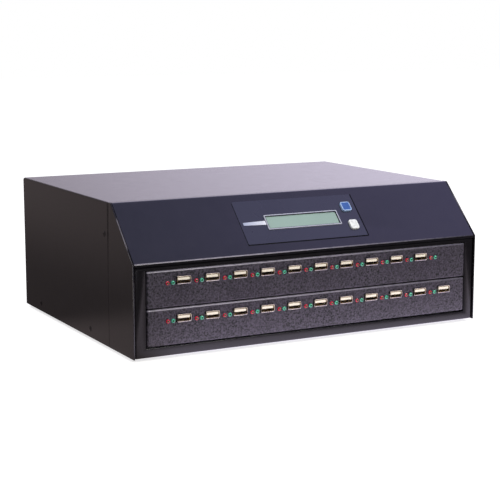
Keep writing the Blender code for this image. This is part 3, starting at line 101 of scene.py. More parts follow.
class DuplicatorSizes(bpy.types.PropertyGroup):
    """Sizes of the pieces that dress the case."""

    slope_run: length("Slope run", "Depth of the sloping panel, front to back", 0.0473)
    slope_rise: length("Slope rise", "Height of the sloping panel", 0.0474)
    panel_level: length("Film face", "Face of the overlay film above the slope", 0.0005)
    shell_wall: length("Shell wall", "Sheet thickness of a socket's shell", 0.0003)
    shell_corner: length("Shell corner", "Corner radius of a socket's shell", 0.0011)
    lip_flare: length("Lip flare", "How far a socket's lip opens up and down", 0.0006)
    side_flare: length("Side flare", "How far a socket's lip opens sideways", 0.0002)
    lip_depth: length("Lip depth", "How far back the flare of a lip starts", 0.0011)
    tongue_setback: length("Tongue setback", "Tongue behind the mouth of its shell", 0.0004)
    tongue_height: length("Tongue height", "Thickness of a socket's tongue", 0.0022)
    tongue_width: length("Tongue width", "Width of a socket's tongue", 0.0112)
    contact_width: length("Contact width", "Width of one contact", 0.0010)
    lens_radius: length("Lens radius", "Radius of a lamp's lens behind its cap", 0.00145)
    lens_cap: length("Lens cap", "Radius of a lamp's cap in front of the panel", 0.0018)
    lens_proud: length("Lens height", "Lens in front of the port panel", 0.0014)
    lamp_near: length("Near lamp", "Green lamp left of the middle of its socket", 0.0101)
    lamp_pitch: length("Lamp pitch", "Red lamp left of its green lamp", 0.00508)
    lamp_drop: length("Lamp drop", "Lamps below the middle of the sockets", 0.0018)
    key_rim: length("Key rim", "Width of the pale rim of the upper key", 0.0008)
    key_crown: length("Key crown", "Top of a key above the slope", 0.0023)
    key_flange: length("Key flange", "Flange of a key beyond its cap", 0.0012)
    key_corner: length("Key corner", "Corner radius of a key", 0.0021)
    stripe_width: length("Stripe width", "Width of the pale stripe beside the display", 0.0227)
    stripe_height: length("Stripe height", "Height of the pale stripe", 0.0045)
    guard_wire: length("Guard wire", "Wire diameter of the fan guard", 0.0015)
    guard_pitch: length("Guard pitch", "Between neighbouring screws of the fan guard", 0.0715)
    hub_radius: length("Hub radius", "Radius of the fan's hub", 0.0170)
    blade_reach: length("Blade reach", "Radius at the tips of the fan's blades", 0.0369)
    screw_radius: length("Screw head radius", "Radius of a cover screw's head", 0.0026)
    screw_height: length("Screw head height", "Height of a cover screw's head", 0.0005)
    paint_edge: length("Paint edge", "Rounding that the coat gives to a sheet's edges", 0.0003)
    # Painted shadow: width of the dark line along the film's right and lower edges
    shadow_line: length("Keyline", "Width of the dark line printed round the film", 0.0011)
    border_line: length("Border line", "Width of the pale line round the display", 0.0009)
    coat_grain: length("Coat grain", "Spacing of the powder coat's grain", 0.0014)
    hammer_cell: length("Hammer cell", "Spacing of the hammered paint's dimples", 0.0017)


class DuplicatorColours(bpy.types.PropertyGroup):
    """Colours of the finishes."""

    coat: colour("Powder coat", "Black polyester powder coat", "121114")
    # Painted highlight: a pale coat colour that stands for the lamp's reflection along the folds
    painted_highlight: colour("Rubbed paint", "Paint rubbed pale along the folds", "8b8792")
    hammer: colour("Hammered paint", "Ground of the hammered paint", "3b3740")
    hammer_pit: colour("Hammered pits", "Pits of the hammered paint", "08080a")
    film: colour("Overlay film", "Matt polycarbonate film", "262834")
    ink: colour("Pale ink", "Printed border of the display", "b9bccb")
    display: colour("Display", "Background of the display", "93ad9f")
    blue: colour("Upper key", "Blue face of the upper key", "1f579f")
    blue_rim: colour("Upper key rim", "Pale rim of the upper key", "a9c6ee")
    white: colour("Lower key", "White moulded key", "f4f8f8")
    nickel: colour("Nickel", "Nickel-plated shells", "e2d8c6")
    ivory: colour("Ivory", "Tongues of the sockets", "f6f0da")
    gold: colour("Gold", "Contacts of the sockets", "c99a4a")
    red: colour("Red lens", "Red lamp lens", "c21a36")
    green: colour("Green lens", "Green lamp lens", "56bf9c")
    plastic: colour("Black plastic", "Moulded black plastic at the rear", "1b1b1d")
    floor: colour("Floor", "Pale studio floor", "e9e9ea")


def sizes_and_colours(context):
    """The settings that the sidebar shows."""
    return context.scene.duplicator_sizes, context.scene.duplicator_colours


def add_node(tree, kind, inputs=(), **settings):
    """Adds a node, gives it its settings, and fills its inputs with values or links."""
    node = tree.nodes.new(kind)
    for name, value in settings.items():
        setattr(node, name, value)
    for name, value in dict(inputs).items():
        if isinstance(value, bpy.types.NodeSocket):
            tree.links.new(value, node.inputs[name])
        else:
            node.inputs[name].default_value = value
    return node


def shaded(tint, factor):
    """A colour made darker or lighter."""
    return (*[min(part * factor, 1.0) for part in tint[:3]], 1.0)


def start_finish(name):
    """An empty node material: the material, its tree, its shader and object coordinates."""
    material = bpy.data.materials.new(name)
    material.use_nodes = True
    tree = material.node_tree
    shader = tree.nodes["Principled BSDF"]
    place = add_node(tree, "ShaderNodeTexCoord").outputs["Object"]
    return material, tree, shader, place


def link_finish(tree, shader, tint, gloss, bump=None):
    """Links a tint, a roughness and, where there is one, a relief to the shader."""
    tree.links.new(tint.outputs[2], shader.inputs["Base Color"])
    tree.links.new(gloss.outputs[0], shader.inputs["Roughness"])
    if bump:
        tree.links.new(bump.outputs[0], shader.inputs["Normal"])


def add_finish(name, tint, roughness, grain, relief, blotch, gloss_change=0.08,
               tint_change=0.25, metallic=0.0, **sockets):
    """A finish with fine grain in its relief and broad changes in its tint and gloss."""
    material, tree, shader, place = start_finish(name)
    fine = add_node(tree, "ShaderNodeTexNoise", {
        "Vector": place, "Scale": 1 / grain, "Detail": 3.0, "Roughness": 0.6})
    broad = add_node(tree, "ShaderNodeTexNoise", {
        "Vector": place, "Scale": 1 / blotch, "Detail": 3.0, "Roughness": 0.55})
    both = add_node(tree, "ShaderNodeMath", {
        0: fine.outputs["Fac"], 1: broad.outputs["Fac"]}, operation="ADD")
    half = add_node(tree, "ShaderNodeMapRange", {
        "Value": both.outputs[0], "From Min": 0.75, "From Max": 1.25})
    tinted = add_node(tree, "ShaderNodeMix", {
        0: half.outputs[0], 6: shaded(tint, 1 - tint_change), 7: shaded(tint, 1 + tint_change)},
        data_type="RGBA")
    gloss = add_node(tree, "ShaderNodeMapRange", {
        "Value": broad.outputs["Fac"], "From Min": 0.3, "From Max": 0.7,
        "To Min": roughness - gloss_change, "To Max": roughness + gloss_change})
    bump = add_node(tree, "ShaderNodeBump", {
        "Height": fine.outputs["Fac"], "Strength": 1.0, "Distance": relief})
    link_finish(tree, shader, tinted, gloss, bump)
    shader.inputs["Metallic"].default_value = metallic
    for socket, value in sockets.items():
        shader.inputs[socket.replace("_", " ")].default_value = value
    return material


def add_box(shape, low, high):
    """A box between two corners; returns its vertices."""
    low, high = Vector(low), Vector(high)
    verts = bmesh.ops.create_cube(shape, size=1.0)["verts"]
    bmesh.ops.scale(shape, vec=high - low, verts=verts)
    bmesh.ops.translate(shape, vec=(low + high) / 2, verts=verts)
    return verts


def edges_of(verts):
    return list({edge for vert in verts for edge in vert.link_edges})


def faces_of(verts):
    return list({face for vert in verts for face in vert.link_faces})


def edges_along(verts, axis):
    """The edges among verts that run along one axis, 0 to 2."""
    found = []
    for edge in edges_of(verts):
        run = edge.verts[1].co - edge.verts[0].co
        if abs(run[axis]) > 0.99 * run.length:
            found.append(edge)
    return found


def largest_face(shape, axis):
    """The largest of the faces that look along an axis, 0 to 2."""
    shape.normal_update()
    facing = [face for face in shape.faces if face.normal[axis] > 0.99]
    return max(facing, key=lambda face: face.calc_area())


def round_off(shape, edges, width, segments):
    """Rounds edges; with one segment it chamfers them."""
    bmesh.ops.bevel(shape, geom=edges, offset=width, offset_type="OFFSET", segments=segments,
                    affect="EDGES", profile=0.5, material=-1, clamp_overlap=True)


def add_block(shape, low, high, radius, segments=3, material=0):
    """A box with every edge rounded."""
    verts = add_box(shape, low, high)
    faces = faces_of(verts)
    for face in faces:
        face.material_index = material
    round_off(shape, edges_of(verts), radius, segments)


def add_turned(shape, profile, steps, matrix):
    """Spins a profile of (radius, height) points about its height, then places it."""
    verts = [shape.verts.new((radius, 0, height)) for radius, height in profile]
    edges = [shape.edges.new(pair) for pair in zip(verts, verts[1:])]
    before = set(shape.verts) - set(verts)
    bmesh.ops.spin(shape, geom=verts + edges, cent=(0, 0, 0), axis=(0, 0, 1), dvec=(0, 0, 0),
                   angle=2 * math.pi, steps=steps, use_merge=True)
    made = [vert for vert in shape.verts if vert not in before]
    bmesh.ops.remove_doubles(shape, verts=made, dist=1e-6)
    made = [vert for vert in shape.verts if vert not in before]
    bmesh.ops.transform(shape, matrix=matrix, verts=made)
    return made


def add_hoop(shape, radius, wire, steps, sides, matrix):
    """A ring of round wire about the height axis, then placed."""
    before = set(shape.verts)
    circle = bmesh.ops.create_circle(
        shape, cap_ends=False, segments=sides, radius=wire / 2,
        matrix=Matrix.Translation((radius, 0, 0)) @ Matrix.Rotation(math.pi / 2, 4, "X"))["verts"]
    bmesh.ops.spin(shape, geom=circle + edges_of(circle), cent=(0, 0, 0), axis=(0, 0, 1),
                   dvec=(0, 0, 0), angle=2 * math.pi, steps=steps, use_merge=True)
    made = [vert for vert in shape.verts if vert not in before]
    bmesh.ops.transform(shape, matrix=matrix, verts=made)


def add_rod(shape, start, end, radius, sides):
    """A round rod from start to end."""
    start, end = Vector(start), Vector(end)
    reach = end - start
    turn = reach.to_track_quat("Z", "Y").to_matrix().to_4x4()
    bmesh.ops.create_cone(shape, cap_ends=True, segments=sides, radius1=radius, radius2=radius,
                          depth=reach.length, matrix=Matrix.Translation((start + end) / 2) @ turn)


def add_piece(name, shape, materials, body, replaces=(), angle=40.0):
    """Turns a bmesh into a piece that rides on a body and stands for CAD nodes."""
    bmesh.ops.recalc_face_normals(shape, faces=shape.faces)
    mesh = bpy.data.meshes.new(name)
    shape.to_mesh(mesh)
    shape.free()
    for material in materials:
        mesh.materials.append(material)
    mesh.shade_smooth()
    mesh.set_sharp_from_angle(angle=math.radians(angle))
    piece = bpy.data.objects.new(name, mesh)
    bpy.context.scene.collection.objects.link(piece)
    even = piece.modifiers.new("even_shading", "WEIGHTED_NORMAL")
    even.keep_sharp = True
    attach(piece, body)
    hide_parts(*replaces)


def carved(shape, cutters):
    """Cuts closed shapes out of a shape and returns the result as a new bmesh."""
    objects = []
    for source in [shape, *cutters]:
        bmesh.ops.recalc_face_normals(source, faces=source.faces)
        mesh = bpy.data.meshes.new("carving")
        source.to_mesh(mesh)
        source.free()
        item = bpy.data.objects.new("carving", mesh)
        bpy.context.scene.collection.objects.link(item)
        objects.append(item)
    for cutter in objects[1:]:
        step = objects[0].modifiers.new("cut", "BOOLEAN")
        step.operation = "DIFFERENCE"
        step.solver = "EXACT"
        step.object = cutter
    bpy.context.view_layer.update()
    done = objects[0].evaluated_get(bpy.context.evaluated_depsgraph_get())
    result = bmesh.new()
    result.from_mesh(done.data)
    for item in objects:
        bpy.data.objects.remove(item)
    return result


def absorb(shape, other):
    """Adds another shape's faces to a shape, and frees the other."""
    mesh = bpy.data.meshes.new("absorbed")
    other.to_mesh(mesh)
    other.free()
    shape.from_mesh(mesh)
    bpy.data.meshes.remove(mesh)


def dress(material, *names):
    """Gives CAD nodes a finish in place of their plain one."""
    for name in names:
        for place in frame["nodes"][name].material_slots:
            place.material = material


def looks_up_front(normal):
    """True on the faces of a fold that look forward and up."""
    return normal.y < -0.1 and 0.1 < normal.z < 0.97


def add_smoothed(node, material, angle=50.0, edge=0.0, folds=()):
    """A merged copy of a CAD node, shaded smooth round its bends, that stands for it.

    With an edge, the sheet's sharp edges are rounded by that much, as thick paint does.
    Each fold is a finish and a test: faces whose normal passes the test get that finish.
    """
    source = frame["nodes"][node]
    shape = bmesh.new()
    shape.from_mesh(source.data)
    bmesh.ops.remove_doubles(shape, verts=shape.verts, dist=1e-6)
    for face in shape.faces:
        face.material_index = 0
    if edge:
        bmesh.ops.dissolve_limit(shape, angle_limit=math.radians(1), verts=shape.verts, edges=shape.edges)
        sharp = [line for line in shape.edges
                 if len(line.link_faces) == 2 and line.calc_face_angle() > math.radians(60)]
        round_off(shape, sharp, edge, 2)
    shape.normal_update()
    for number, (finish, test) in enumerate(folds):
        for face in shape.faces:
            if test(face.normal):
                face.material_index = number + 1
    finishes = [material] + [finish for finish, test in folds]
    add_piece(node + "_finished", shape, finishes, source["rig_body"], [node], angle)


def coat_finish(colours, sizes):
    """Polyester powder coat, baked on: a fine dry grain and a sheen at low angles.

    Its grain is finer than a pixel, and is drawn 1.4 mm apart so that it shows.
    """
    return add_finish("baked_powder_coat", colours.coat, 0.23, sizes.coat_grain, 0.00005, 0.012,
                      gloss_change=0.008, tint_change=0.3)


def painted_highlight_finish(name, colours, axis, stops):
    """A painted highlight on a fold, pale paint that stands for the lamp's reflection: stops give its
    strength, 0 to 1, along an axis.
    """
    material, tree, shader, place = start_finish(name)
    split = add_node(tree, "ShaderNodeSeparateXYZ", {0: place})
    start, end = stops[0][0], stops[-1][0]
    run = add_node(tree, "ShaderNodeMapRange", {
        "Value": split.outputs[axis], "From Min": start, "From Max": end})
    highlight_noise = add_node(tree, "ShaderNodeTexNoise", {"Vector": place, "Scale": 1 / 0.006, "Detail": 4.0})
    ramp = add_node(tree, "ShaderNodeValToRGB", {0: run.outputs[0]})
    for spot, share in stops[1:-1]:
        ramp.color_ramp.elements.new((spot - start) / (end - start))
    for element, (spot, share) in zip(ramp.color_ramp.elements, stops):
        element.color = (share, share, share, 1)
    # Noise breaks up the painted highlight, between three quarters and full strength
    mottled = add_node(tree, "ShaderNodeMapRange", {
        "Value": highlight_noise.outputs["Fac"], "From Min": 0.3, "From Max": 0.6, "To Min": 0.75, "To Max": 1.0})
    level = add_node(tree, "ShaderNodeMath", {0: mottled.outputs[0], 1: ramp.outputs[0]}, operation="MULTIPLY")
    tinted = add_node(tree, "ShaderNodeMix", {
        0: level.outputs[0], 6: tuple(colours.coat), 7: tuple(colours.painted_highlight)}, data_type="RGBA")
    rough = add_node(tree, "ShaderNodeMapRange", {
        "Value": highlight_noise.outputs["Fac"], "To Min": 0.22, "To Max": 0.34})
    link_finish(tree, shader, tinted, rough)
    return material


def slope_matrix(sizes):
    """From the slope's own axes, X across, Y up the slope, Z outwards, to the frame's."""
    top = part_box("top_cover")[1].z
    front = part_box("lower_port_panel")[0].y
    angle = math.atan2(sizes.slope_rise, sizes.slope_run)
    return Matrix.Translation((0, front, top - sizes.slope_rise)) @ Matrix.Rotation(angle, 4, "X")


def slope_box(node, slope):
    """The corners of a CAD node's box in the slope's own axes."""
    source = frame["nodes"][node]
    turn = slope.inverted() @ source.matrix_world
    places = [turn @ vert.co for vert in source.data.vertices]
    return (Vector([min(place[axis] for place in places) for axis in range(3)]),
            Vector([max(place[axis] for place in places) for axis in range(3)]))


class DUPLICATOR_OT_case(bpy.types.Operator):
    """Finish the folded case: cover, cheeks, front frame, slope and rear panel"""

    bl_idname = "duplicator.case"
    bl_label = "Case"

    def execute(self, context):
        sizes, colours = sizes_and_colours(context)
        coat = coat_finish(colours, sizes)
        for node in ("top_cover", "rear_panel"):
            add_smoothed(node, coat, edge=sizes.paint_edge)
        # Painted shade: coat with its shine taken off, on the folds in the lip's shadow and on the cheeks'
        # front edges, so that they read dark
        shade_dull = add_finish("shade_dulled_coat", colours.coat, 0.75, sizes.coat_grain, 0.00003, 0.012,
                          Specular_IOR_Level=0.08)
        add_smoothed("front_frame", coat, folds=[(shade_dull, looks_up_front)])
        low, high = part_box("control_panel")
        # Painted highlight along the slope's rolled lip: strongest left of the middle, fading to nothing at
        # the right
        lip = painted_highlight_finish("painted_highlight_lip", colours, "X", (
            (low.x, 0.72), (low.x * 0.4, 1.0), (0, 0.75), (high.x * 0.6, 0.30), (high.x, 0.02)))
        add_smoothed("control_panel", coat, folds=[
            (shade_dull, lambda normal: normal.y < -0.5 and -0.5 < normal.z <= 0.3),
            (lip, lambda normal: normal.y < -0.1 and 0.3 < normal.z < 0.69)])
        # Painted highlight on the cheeks' sloping edges, only half way up, where the lamp's reflection falls
        low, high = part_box("left_cheek")
        rise = sizes.slope_rise
        cheek = painted_highlight_finish("painted_highlight_cheek", colours, "Z", (
            (high.z - rise, 0.0), (high.z - rise * 0.77, 0.02), (high.z - rise * 0.72, 0.5),
            (high.z - rise * 0.30, 0.6), (high.z - rise * 0.24, 0.02), (high.z, 0.0)))
        # The cheeks' front edges take the painted shade, their sloping edges the painted highlight
        for node in ("left_cheek", "right_cheek"):
            add_smoothed(node, coat, folds=[
                (shade_dull, lambda normal: 0.15 < abs(normal.x) < 0.97 and normal.y < -0.15),
                (cheek, looks_up_front)])
        # Hot-dip zinc sheet, its crystals drawn 9 mm across: a faint patchwork of greys
        zinc = add_finish("zinc_sheet", linear("9a9ea1"), 0.42, 0.0009, 0.00002, 0.009,
                          metallic=1.0, tint_change=0.18)
        dress(zinc, "base_pan")
        return {"FINISHED"}


class DUPLICATOR_OT_port_panels(bpy.types.Operator):
    """Finish the two hammered port panels"""

    bl_idname = "duplicator.port_panels"
    bl_label = "Port panels"

    def execute(self, context):
        sizes, colours = sizes_and_colours(context)
        # Hammered stove enamel: a tight mottle of dimples, with dark pits where the paint drew apart.
        # The dimples are drawn 1.7 mm apart, as coarse as they need to be to show.
        material, tree, shader, place = start_finish("hammered_enamel")
        cells = add_node(tree, "ShaderNodeTexVoronoi", {
            "Vector": place, "Scale": 1 / sizes.hammer_cell, "Smoothness": 0.5, "Randomness": 1.0},
            feature="SMOOTH_F1")
        mottle = add_node(tree, "ShaderNodeTexNoise", {
            "Vector": place, "Scale": 1 / sizes.hammer_cell, "Detail": 2.0, "Roughness": 0.7})
        dense = add_node(tree, "ShaderNodeTexNoise", {
            "Vector": place, "Scale": 1 / 0.035, "Detail": 2.0})
        limit = add_node(tree, "ShaderNodeMapRange", {
            "Value": dense.outputs["Fac"], "From Min": 0.38, "From Max": 0.62,
            "To Min": 0.40, "To Max": 0.47})
        pit = add_node(tree, "ShaderNodeMath", {
            0: limit.outputs[0], 1: mottle.outputs["Fac"]}, operation="SUBTRACT")
        pitted = add_node(tree, "ShaderNodeMapRange", {
            "Value": pit.outputs[0], "From Min": -0.02, "From Max": 0.05, "To Max": 0.85})
        patch = add_node(tree, "ShaderNodeMapRange", {
            "Value": mottle.outputs["Fac"], "From Min": 0.40, "From Max": 0.62})
        ground = add_node(tree, "ShaderNodeMix", {
            0: patch.outputs[0], 6: shaded(colours.hammer, 0.35), 7: shaded(colours.hammer, 1.75)},
            data_type="RGBA")
        tinted = add_node(tree, "ShaderNodeMix", {
            0: pitted.outputs[0], 6: ground.outputs[2], 7: tuple(colours.hammer_pit)},
            data_type="RGBA")
        gloss = add_node(tree, "ShaderNodeMapRange", {
            "Value": dense.outputs["Fac"], "From Min": 0.3, "From Max": 0.7,
            "To Min": 0.30, "To Max": 0.40})
        depth = add_node(tree, "ShaderNodeMath", {
            0: cells.outputs["Distance"], 1: pitted.outputs[0]}, operation="SUBTRACT")
        bump = add_node(tree, "ShaderNodeBump", {
            "Height": depth.outputs[0], "Strength": 0.8, "Distance": 0.0003})
        link_finish(tree, shader, tinted, gloss, bump)
        for node in ("upper_port_panel", "lower_port_panel"):
            low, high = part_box(node)
            # Painted highlight along each panel's top fold, fading towards the right
            fold = painted_highlight_finish("painted_highlight_enamel", colours, "X", (
                (low.x, 0.8), (low.x * 0.5, 1.0), (high.x * 0.2, 0.8), (high.x, 0.35)))
            add_smoothed(node, material, edge=sizes.paint_edge,
                         folds=[(fold, looks_up_front)])
        return {"FINISHED"}


class DUPLICATOR_OT_sockets(bpy.types.Operator):
    """Make the 21 sockets: drawn shell with a flared mouth, tongue and four contacts"""

    bl_idname = "duplicator.sockets"
    bl_label = "Sockets"

    def execute(self, context):
        sizes, colours = sizes_and_colours(context)
        # Nickel on drawn steel: warm, soft reflections with faint draw lines
        nickel = add_finish("nickel_plate", colours.nickel, 0.30, 0.0008, 0.000006, 0.004,
                            metallic=1.0, tint_change=0.08)
        # Glass-filled polyester tongue: dull ivory
        ivory = add_finish("ivory_polyester", colours.ivory, 0.45, 0.0006, 0.00001, 0.005,
                           tint_change=0.05)
        gold = add_finish("gold_plate", colours.gold, 0.25, 0.0008, 0.000004, 0.004,
                          metallic=1.0, tint_change=0.1)
        low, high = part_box("lower_socket_01")
        form = self.socket_form(sizes, high - low)
        for node in sorted(frame["nodes"]):
            if "_socket_" in node:
                low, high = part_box(node)
                shape = form.copy()
                bmesh.ops.translate(shape, verts=shape.verts,
                                    vec=((low.x + high.x) / 2, low.y, (low.z + high.z) / 2))
                add_piece(node + "_finished", shape, [nickel, ivory, gold], "case",
                          [node])
        form.free()
        return {"FINISHED"}

    def socket_form(self, sizes, box):
        """One socket with the middle of its mouth at the origin, looking along -Y."""
        shape = bmesh.new()
        width, height = box.x - 2 * sizes.side_flare, box.z - 2 * sizes.lip_flare
        verts = add_box(shape, (-width / 2, sizes.lip_depth, -height / 2), (width / 2, box.y, height / 2))
        round_off(shape, edges_along(verts, 1), sizes.shell_corner, 4)
        mouth = [face for face in shape.faces
                 if all(vert.co.y < sizes.lip_depth * 1.01 for vert in face.verts)]
        bmesh.ops.delete(shape, geom=mouth, context="FACES_ONLY")
        rim = [edge for edge in shape.edges if edge.is_boundary]
        before = 0.0
        for level, share in ((0.45, 0.25), (0.12, 0.7), (0.0, 1.0)):
            pushed = bmesh.ops.extrude_edge_only(shape, edges=rim)["geom"]
            lip = [item for item in pushed if isinstance(item, bmesh.types.BMVert)]
            rim = [item for item in pushed if isinstance(item, bmesh.types.BMEdge) and item.is_boundary]
            growth = [(size / 2 + flare * share) / (size / 2 + flare * before)
                      for size, flare in ((width, sizes.side_flare), (height, sizes.lip_flare))]
            bmesh.ops.scale(shape, verts=lip, vec=(growth[0], 1, growth[1]))
            for vert in lip:
                vert.co.y = sizes.lip_depth * level
            before = share
        bmesh.ops.recalc_face_normals(shape, faces=shape.faces)
        bmesh.ops.solidify(shape, geom=list(shape.faces), thickness=sizes.shell_wall)
        roof_gap, contact_drop = 0.0004, 0.00018
        top = height / 2 - sizes.shell_wall - roof_gap
        low = top - sizes.tongue_height
        add_block(shape, (-sizes.tongue_width / 2, sizes.tongue_setback, low),
                  (sizes.tongue_width / 2, box.y - 0.001, top), 0.00025, 2, material=1)
        # The four contacts of a USB-A receptacle, from its middle
        for place in (-0.0035, -0.0010, 0.0010, 0.0035):
            add_block(shape, (place - sizes.contact_width / 2, sizes.tongue_setback + 0.0004,
                              low - contact_drop),
                      (place + sizes.contact_width / 2, box.y - 0.002, low + 0.0003), 0.0001, 1, material=2)
        return shape


class DUPLICATOR_OT_lamps(bpy.types.Operator):
    """Make the red and green lamp lenses beside the sockets"""

    bl_idname = "duplicator.lamps"
    bl_label = "Lamps"

    def execute(self, context):
        sizes, colours = sizes_and_colours(context)
        # Tinted diffused epoxy, cast: wet shine over a milky body
        lenses = {}
        for name, tint in (("red", colours.red), ("green", colours.green)):
            lenses[name] = add_finish(name + "_epoxy", tint, 0.14, 0.0009, 0.000005, 0.003,
                                      gloss_change=0.03, tint_change=0.12,
                                      Subsurface_Weight=0.35, Subsurface_Scale=0.001,
                                      Coat_Weight=0.6, Coat_Roughness=0.05)
        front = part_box("lower_port_panel")[0].y
        centres = []
        for number in range(1, 12):
            low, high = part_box("lower_socket_%02d" % number)
            centres.append((low.x + high.x) / 2)
        for row in ("upper", "lower"):
            low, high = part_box(row + "_socket_01")
            level = (low.z + high.z) / 2 - sizes.lamp_drop
            for name, offset in (("green", sizes.lamp_near), ("red", sizes.lamp_near + sizes.lamp_pitch)):
                shape = bmesh.new()
                for centre in centres:
                    self.add_lens(shape, sizes, (centre - offset, front, level))
                add_piece(row + "_" + name + "_lenses", shape, [lenses[name]], "case")
        return {"FINISHED"}

    def add_lens(self, shape, sizes, place):
        """A domed lens that stands out of the panel, looking along -Y."""
        radius, proud = sizes.lens_cap, sizes.lens_proud
        dome = proud * 0.75
        profile = [(0.0, -0.0030), (sizes.lens_radius, -0.0030), (sizes.lens_radius, 0.0001),
                   (radius, 0.0001)]
        for step in range(7):
            angle = math.pi / 2 * step / 6
            profile.append((radius * math.cos(angle), proud - dome + dome * math.sin(angle)))
        profile[-1] = (0.0, proud)
        matrix = Matrix.Translation(place) @ Matrix.Rotation(math.pi / 2, 4, "X")
        add_turned(shape, profile, 20, matrix)


class DUPLICATOR_OT_display(bpy.types.Operator):
    """Finish the overlay film, the display and its border, and lay the pale stripe"""

    bl_idname = "duplicator.display"
    bl_label = "Display and film"

    def execute(self, context):
        sizes, colours = sizes_and_colours(context)
        slope = slope_matrix(sizes)
        # Matt polycarbonate film: a velvet face, smoother than the coat round it
        film = add_finish("matt_film", colours.film, 0.28, 0.0009, 0.00001, 0.040,
                          gloss_change=0.02, tint_change=0.12)
        self.add_film(sizes, slope, film)
        dress(self.window_finish(sizes, colours, slope), "display_frame")
        dress(self.display_finish(colours), "display_glass")
        low, high = slope_box("display_frame", slope)
        shape = bmesh.new()
        middle = (low + high) / 2
        gap, thickness = 0.0004, 0.00022
        right = low.x - gap
        level = sizes.panel_level + 0.00002
        verts = add_box(shape, (right - sizes.stripe_width, middle.y - sizes.stripe_height / 2, level),
                        (right, middle.y + sizes.stripe_height / 2, level + thickness))
        tip = [vert for vert in verts if vert.co.x < right - sizes.stripe_width / 2]
        bmesh.ops.scale(shape, verts=tip, vec=(1, 0.7, 1), space=Matrix.Translation((0, -middle.y, 0)))
        round_off(shape, edges_along(verts, 2), 0.0006, 3)
        top = [edge for edge in shape.edges if edge.calc_face_angle(0) > 1
               and all(vert.co.z > level + thickness / 2 for vert in edge.verts)]
        round_off(shape, top, 0.00008, 1)
        bmesh.ops.recalc_face_normals(shape, faces=shape.faces)
        bmesh.ops.transform(shape, matrix=slope, verts=shape.verts)
        add_piece("display_stripe", shape, [self.stripe_finish(right, sizes)], "case")
        return {"FINISHED"}

    def add_film(self, sizes, slope, film):
        """The film laid flat on the slope, and a dark line on its right and lower edges: a painted shadow of
        the film's raised edge.
        """
        source = frame["nodes"]["panel_overlay"]
        low, high = slope_box("panel_overlay", slope)
        shape = bmesh.new()
        shape.from_mesh(source.data)
        bmesh.ops.remove_doubles(shape, verts=shape.verts, dist=1e-6)
        bmesh.ops.transform(shape, matrix=slope.inverted(), verts=shape.verts)
        for vert in shape.verts:
            vert.co.z = sizes.panel_level if vert.co.z > (low.z + high.z) / 2 else 0.00003
        for face in shape.faces:
            face.material_index = 0
        bmesh.ops.dissolve_limit(shape, angle_limit=math.radians(1), verts=shape.verts, edges=shape.edges)
        bmesh.ops.transform(shape, matrix=slope, verts=shape.verts)
        add_piece("panel_overlay_finished", shape, [film], "case", ["panel_overlay"])
        # Painted shadow: near-black with its shine taken off, laid along the film's right and lower edges
        # where the raised film casts shade
        black = add_finish("painted_shadow_ink", linear("08080c"), 0.80, 0.0009, 0.00001, 0.010,
                           tint_change=0.1, Specular_IOR_Level=0.08)
        line = bmesh.new()
        level, ink = sizes.panel_level + 0.00001, 0.00004
        turn_in = high.x - sizes.shadow_line
        lower_share = 0.45
        add_box(line, (turn_in, low.y, level), (high.x, high.y, level + ink))
        add_box(line, (low.x, low.y, level), (turn_in, low.y + sizes.shadow_line * lower_share, level + ink))
        bmesh.ops.transform(line, matrix=slope, verts=line.verts)
        add_piece("film_shadow_line", line, [black], "case")

    def window_finish(self, sizes, colours, slope):
        """Screen-printed polycarbonate: a pale line round the outside, and within it the film's colour made
        darker, a painted shade inside the border.
        """
        low, high = slope_box("display_frame", slope)
        material, tree, shader, place = start_finish("window_ink")
        up_axis = slope.col[1].xyz
        base = slope.translation.dot(up_axis)
        across = add_node(tree, "ShaderNodeVectorMath", {0: place, 1: (1, 0, 0)}, operation="DOT_PRODUCT")
        up = add_node(tree, "ShaderNodeVectorMath", {0: place, 1: up_axis}, operation="DOT_PRODUCT")
        line = None
        for value, edge, side in ((across, low.x, 1), (across, high.x, -1),
                                  (up, base + low.y, 1), (up, base + high.y, -1)):
            near = add_node(tree, "ShaderNodeMapRange", {
                "Value": value.outputs["Value"], "From Min": edge + side * sizes.border_line * 0.85,
                "From Max": edge + side * sizes.border_line * 1.15, "To Min": 1.0, "To Max": 0.0})
            line = near if line is None else add_node(tree, "ShaderNodeMath", {
                0: line.outputs[0], 1: near.outputs[0]}, operation="MAXIMUM")
        grain = add_node(tree, "ShaderNodeTexNoise", {"Vector": place, "Scale": 1 / 0.0009, "Detail": 2.0})
        mottled = add_node(tree, "ShaderNodeMix", {
            0: grain.outputs["Fac"], 6: shaded(colours.ink, 0.9), 7: shaded(colours.ink, 1.1)},
            data_type="RGBA")
        # Within the pale line the film colour is darkened by a fifth: painted shade
        tinted = add_node(tree, "ShaderNodeMix", {
            0: line.outputs[0], 6: shaded(colours.film, 0.8), 7: mottled.outputs[2]}, data_type="RGBA")
        gloss = add_node(tree, "ShaderNodeMapRange", {
            "Value": grain.outputs["Fac"], "From Min": 0.3, "From Max": 0.7, "To Min": 0.30, "To Max": 0.38})
        bump = add_node(tree, "ShaderNodeBump", {
            "Height": grain.outputs["Fac"], "Strength": 1.0, "Distance": 0.00001})
        link_finish(tree, shader, tinted, gloss, bump)
        return material

    def display_finish(self, colours):
        """Reflective liquid crystal behind clear acrylic: grey-green under a wet gloss, darker towards the
        right, a painted falloff of the light.
        """
        material, tree, shader, place = start_finish("display_crystal")
        split = add_node(tree, "ShaderNodeSeparateXYZ", {0: place})
        cloud = add_node(tree, "ShaderNodeTexNoise", {"Vector": place, "Scale": 1 / 0.025, "Detail": 1.0})
